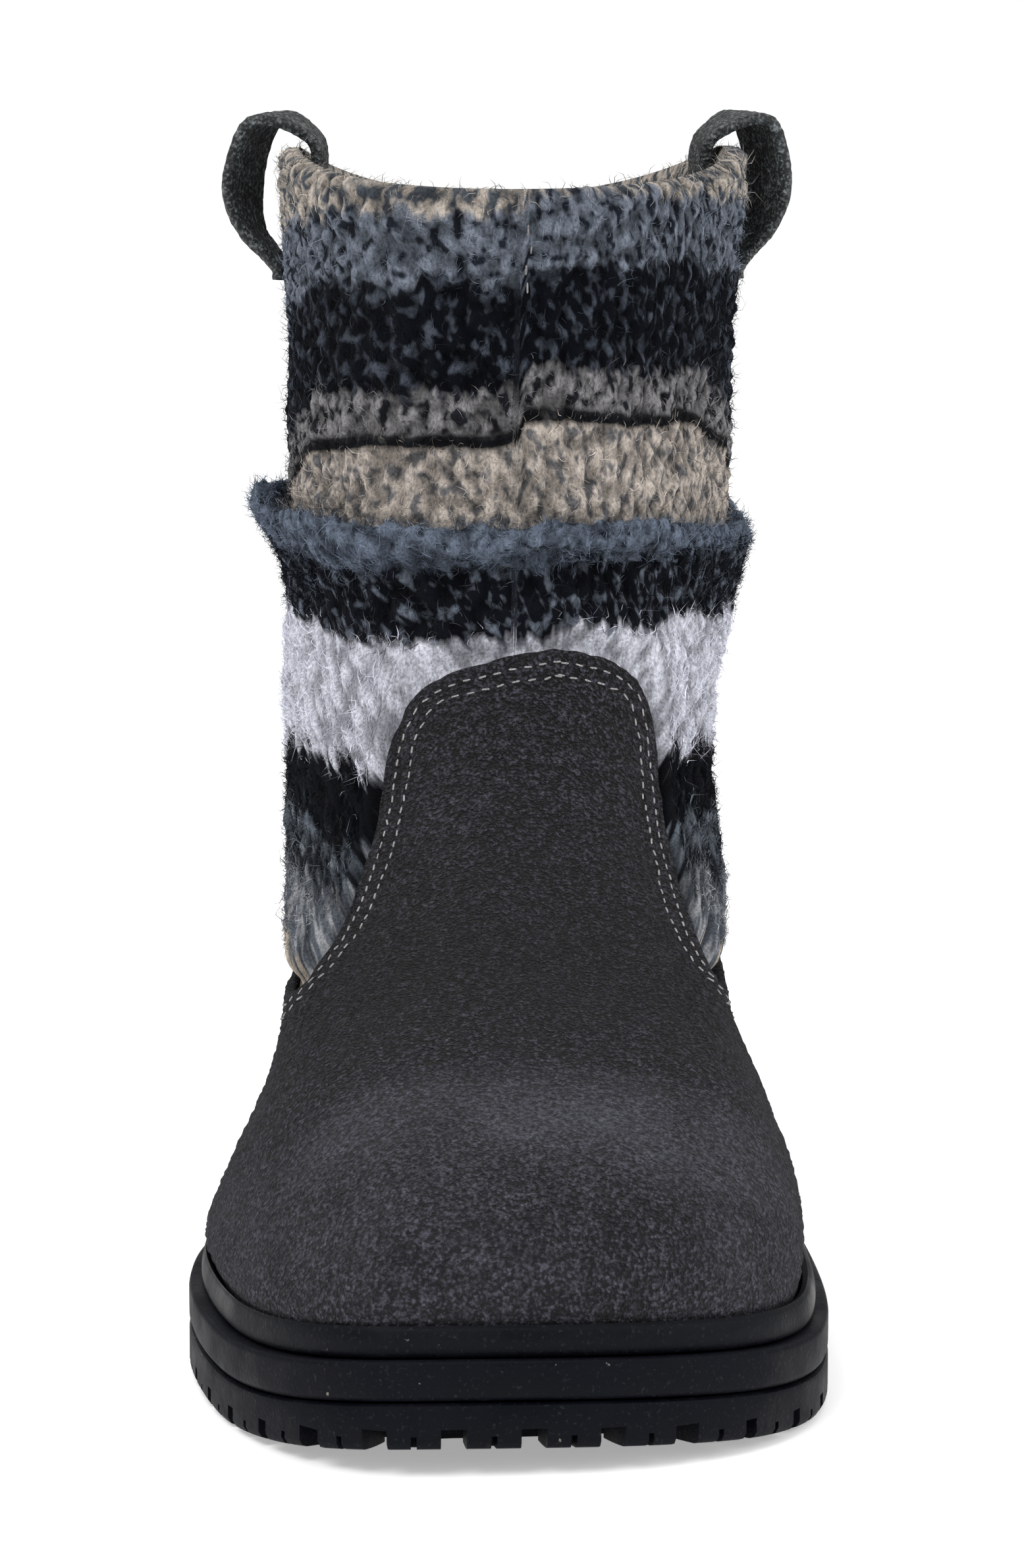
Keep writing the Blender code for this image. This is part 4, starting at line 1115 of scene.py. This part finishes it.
def bar_cutter():
    pitch = 1.15 * NOTCH_PITCH
    inside = LUG_LENGTH + TREAD_GROOVE / 2
    forefoot = (-0.5 * SOLE_LENGTH + inside, -0.06 * SOLE_LENGTH)
    heel = (0.25 * SOLE_LENGTH, 0.5 * SOLE_LENGTH - inside)
    core = inset(SOLE, inside)
    boxes = []
    for start, end in (forefoot, heel):
        count = round((end - start) / pitch)
        for i in range(1, count):
            y = start + (end - start) * i / count
            near = core[np.abs(core[:, 1] - y) < 0.02 * SOLE_LENGTH]
            left, right = near[:, 0].min(), near[:, 0].max()
            low = toe_lift(y)
            boxes.append(box_points(np.array([(left + right) / 2, y]), np.array([1, 0]), np.array([0, 1]),
                                    right - left, 0.75 * TREAD_GROOVE, low + 0.9 * TREAD_DEPTH, -TREAD_DEPTH))
    return boxes_object("bar_cutter", boxes)


def outsole_tread(surface):
    """The tread layer with its arch, lugs and notches, and thin slits between the notches."""
    columns = along(SOLE, even_columns(200))
    top = deck(columns[:, 1]) - MIDSOLE_HEIGHT - GAP
    bottom = toe_lift(columns[:, 1])
    rings = []
    for inwards, z in (
        (0.0016, bottom),
        (0.0006, bottom + 0.0004),
        (0.0, bottom + 0.0014),
        (0.0, top - 0.0009),
        (0.0003, top - 0.0003),
        (0.0009, top),
    ):
        rings.append(np.column_stack([inset(columns, inwards), z]))
    tread = plate("outsole_tread", rings, surface, 35)
    length = np.linalg.norm(np.diff(np.concatenate([SOLE, SOLE[:1]]), axis=0), axis=1).sum()
    notches = 2 * round(length / NOTCH_PITCH / 2)
    through = TREAD_DEPTH + LUG_LENGTH + TREAD_GROOVE / 2

    def notch_width(y):
        return TOE_NOTCH if y < -0.46 * SOLE_LENGTH else SIDE_NOTCH

    cutters = [
        arch_cutter(),
        groove_cutter(),
        rim_cuts("notch_cutter", notches, 0.5, notch_width, TREAD_DEPTH, through),
        rim_cuts("slit_cutter", notches, 0.0, lambda y: 0.0009, 0.0024, TREAD_DEPTH + 0.0065),
        bar_cutter(),
    ]
    for cutter in cutters:
        cut = tread.modifiers.new(cutter.name, "BOOLEAN")
        cut.operation = "DIFFERENCE"
        cut.object = cutter
    finished = bpy.data.meshes.new_from_object(tread.evaluated_get(bpy.context.evaluated_depsgraph_get()))
    tread.modifiers.clear()
    tread.data = finished
    for cutter in cutters:
        bpy.data.objects.remove(cutter)
    for _ in range(len(finished.materials) - 1):
        finished.materials.pop()
    finished.polygons.foreach_set("material_index", np.zeros(len(finished.polygons), dtype=np.int32))
    finished.shade_smooth()
    finished.set_sharp_from_angle(angle=math.radians(35))
    dressed(tread, "outsole")


def pull_loop(name, node, around, reach, surface):
    """A suede strap over the collar, with rounded edges and a slight crown."""
    rim = float(collar_height(np.array([around]))[0])
    half = LOOP_THICKNESS / 2
    skin = 0.1 * KNIT_PUFF + half
    back = -(COLLAR_HEM + 2 * GAP + half)
    route = [
        (back, -LOOP_LEG_INSIDE),
        (back, -0.45 * LOOP_LEG_INSIDE),
        (back, 0.05 * LOOP_RISE),
        (0.55 * back, 0.72 * LOOP_RISE - half),
        (0.10 * reach, LOOP_RISE - half),
        (0.55 * reach, 0.62 * LOOP_RISE),
        (0.92 * reach, -0.13 * LOOP_LEG_OUTSIDE),
        (reach, -0.42 * LOOP_LEG_OUTSIDE),
        (0.80 * reach, -0.66 * LOOP_LEG_OUTSIDE),
        (0.42 * reach, -0.82 * LOOP_LEG_OUTSIDE),
        (skin, -0.94 * LOOP_LEG_OUTSIDE),
        (skin, -0.94 * LOOP_LEG_OUTSIDE - LOOP_END),
    ]
    path = spline(route, False, 9)
    ahead = np.gradient(path, axis=0)
    ahead /= np.linalg.norm(ahead, axis=1)[:, None]
    square = np.column_stack([-ahead[:, 1], ahead[:, 0]])
    collar = form(np.arange(400) / 400, 2.0)[:, :2]
    turn = LOOP_WIDTH / 2 / np.linalg.norm(collar - np.roll(collar, 1, axis=0), axis=1).sum()
    # The strap's section: across from -1 to 1 and its face as a share of the half thickness
    top_side = [(-1.0, 0.35), (-0.985, 0.72), (-0.94, 0.93)]
    top_side += [(a, 1.0) for a in np.linspace(-0.86, 0.86, 13)]
    top_side += [(0.94, 0.93), (0.985, 0.72), (1.0, 0.35)]
    section = np.array(top_side + [(a, -t) for a, t in top_side[::-1]])
    wobble = np.random.default_rng(51)
    rearward = 1 if around < 0.5 else -1
    free = smooth_step(path[:, 0], back, 0.5 * reach)
    free = free * smooth_step(path[:, 1], -0.95 * LOOP_LEG_OUTSIDE, -0.006)
    points = []
    for (r, z), away, loose in zip(path, square, free):
        thick = half * section[:, 1] * (1 - 0.06 * section[:, 0] ** 2)
        thick = thick + wobble.normal(0, 0.00005, len(section))
        offsets = r + away[0] * thick - rearward * section[:, 0] * LOOP_WIDTH / 2 * LOOP_TWIST * loose
        levels = rim + z + away[1] * thick
        places = around + turn * section[:, 0]
        base = form(places, height_of(levels, 0))
        out = outward(places, np.full(len(section), 1.9))[:, :2]
        out /= np.linalg.norm(out, axis=1)[:, None]
        points.append(np.column_stack([base[:, :2] + out * offsets[:, None], levels]))
    count = len(section)
    faces = ring_faces(len(path), count, False)
    faces += [tuple(range(count)), tuple(range((len(path) - 1) * count, len(path) * count))]
    inside = np.tile((section[:, 1] < 0).astype(float), len(path))
    # The strap's outer faces take the mark at 0.3 and come out paler than its inner faces.
    strap = mesh_object(name, np.concatenate(points), faces, surface, {"wear_and_painted_shade": 0.3 * (1 - inside)}, 60)
    dressed(strap, node)


def floor():
    size = 9.0
    mesh = bpy.data.meshes.new("studio_floor")
    corners = [(-size, -size, 0), (size, -size, 0), (size, size, 0), (-size, size, 0)]
    mesh.from_pydata(corners, [], [(0, 1, 2, 3)])
    made, tree, shader = new_surface("pale_floor", 1.0, 0.0, 0.0)
    shader.inputs["Emission Color"].default_value = (1, 1, 1, 1)
    shader.inputs["Emission Strength"].default_value = 0.36
    soft = noise(tree, place(tree), 3, 2)
    shade = mixed(tree, soft, (0.93, 0.93, 0.93, 1), (0.95, 0.95, 0.95, 1))
    tree.links.new(shade, shader.inputs["Base Color"])
    mesh.materials.append(made)
    obj = placed("studio_floor", mesh)
    obj.location.z = cad_bounds[0][2] - 0.0001


def area_light(name, place_at, aim, size, power):
    data = bpy.data.lights.new(name, "AREA")
    data.shape = "DISK"
    data.size = size
    data.energy = power
    obj = placed(name, data)
    obj.location = place_at
    obj.rotation_euler = (Vector(aim) - Vector(place_at)).to_track_quat("-Z", "Y").to_euler()


def studio():
    floor()
    world = bpy.data.worlds.new("studio_world")
    world.use_nodes = True
    sky = world.node_tree
    rise = add(sky, "SeparateXYZ", {0: add(sky, "TexCoord").outputs["Generated"]}).outputs["Z"]
    level = spread(sky, rise, 0.0, 1.0, 0.35, 0.90)
    sky.nodes["Background"].inputs["Color"].default_value = (1, 1, 1, 1)
    sky.links.new(level, sky.nodes["Background"].inputs["Strength"])
    bpy.context.scene.world = world
    area_light("key_light", (-0.55, -0.75, 1.25), (0, 0, 0.08), 0.8, 9)
    area_light("right_light", (1.1, -0.5, 0.7), (0, 0, 0.08), 1.0, 4)
    area_light("back_light", (0.1, 0.9, 1.1), (0, 0, 0.12), 1.0, 4)
    camera = bpy.data.cameras.new("studio_camera")
    camera.sensor_fit = "HORIZONTAL"
    camera.sensor_width = 36
    camera.lens = camera.sensor_width * FOCAL_LENGTH / PHOTO_WIDTH
    obj = placed("studio_camera", camera)
    obj.location = CAMERA_PLACE
    obj.rotation_euler = (math.radians(90 - CAMERA_PITCH), 0, math.radians(CAMERA_TURN))
    bpy.context.scene.camera = obj
    bpy.context.scene.view_settings.view_transform = "Standard"


def main():
    studio()
    rubber = rubber_surface("black_rubber", (0.0010, 0.0016, 0.0040), 0.56)
    outsole_tread(rubber)
    midsole_slab(rubber)
    welt_bead(rubber_surface("welt_rubber", (0.0024, 0.0030, 0.0052), 0.48))
    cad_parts["insole"].data.materials.clear()
    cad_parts["insole"].data.materials.append(felt_surface("grey_felt", (0.10, 0.10, 0.105)))
    suede = suede_cloth()
    arch_stitching(suede)
    knit_pieces()
    strap = suede_surface("strap_suede", *STRAP_SUEDE)
    pull_loop("outer_pull_strap", "pull_loop_outer", LOOP_PLACE, OUTER_LOOP_REACH, strap)
    pull_loop("inner_pull_strap", "pull_loop_inner", 1 - LOOP_PLACE, INNER_LOOP_REACH, strap)


main()
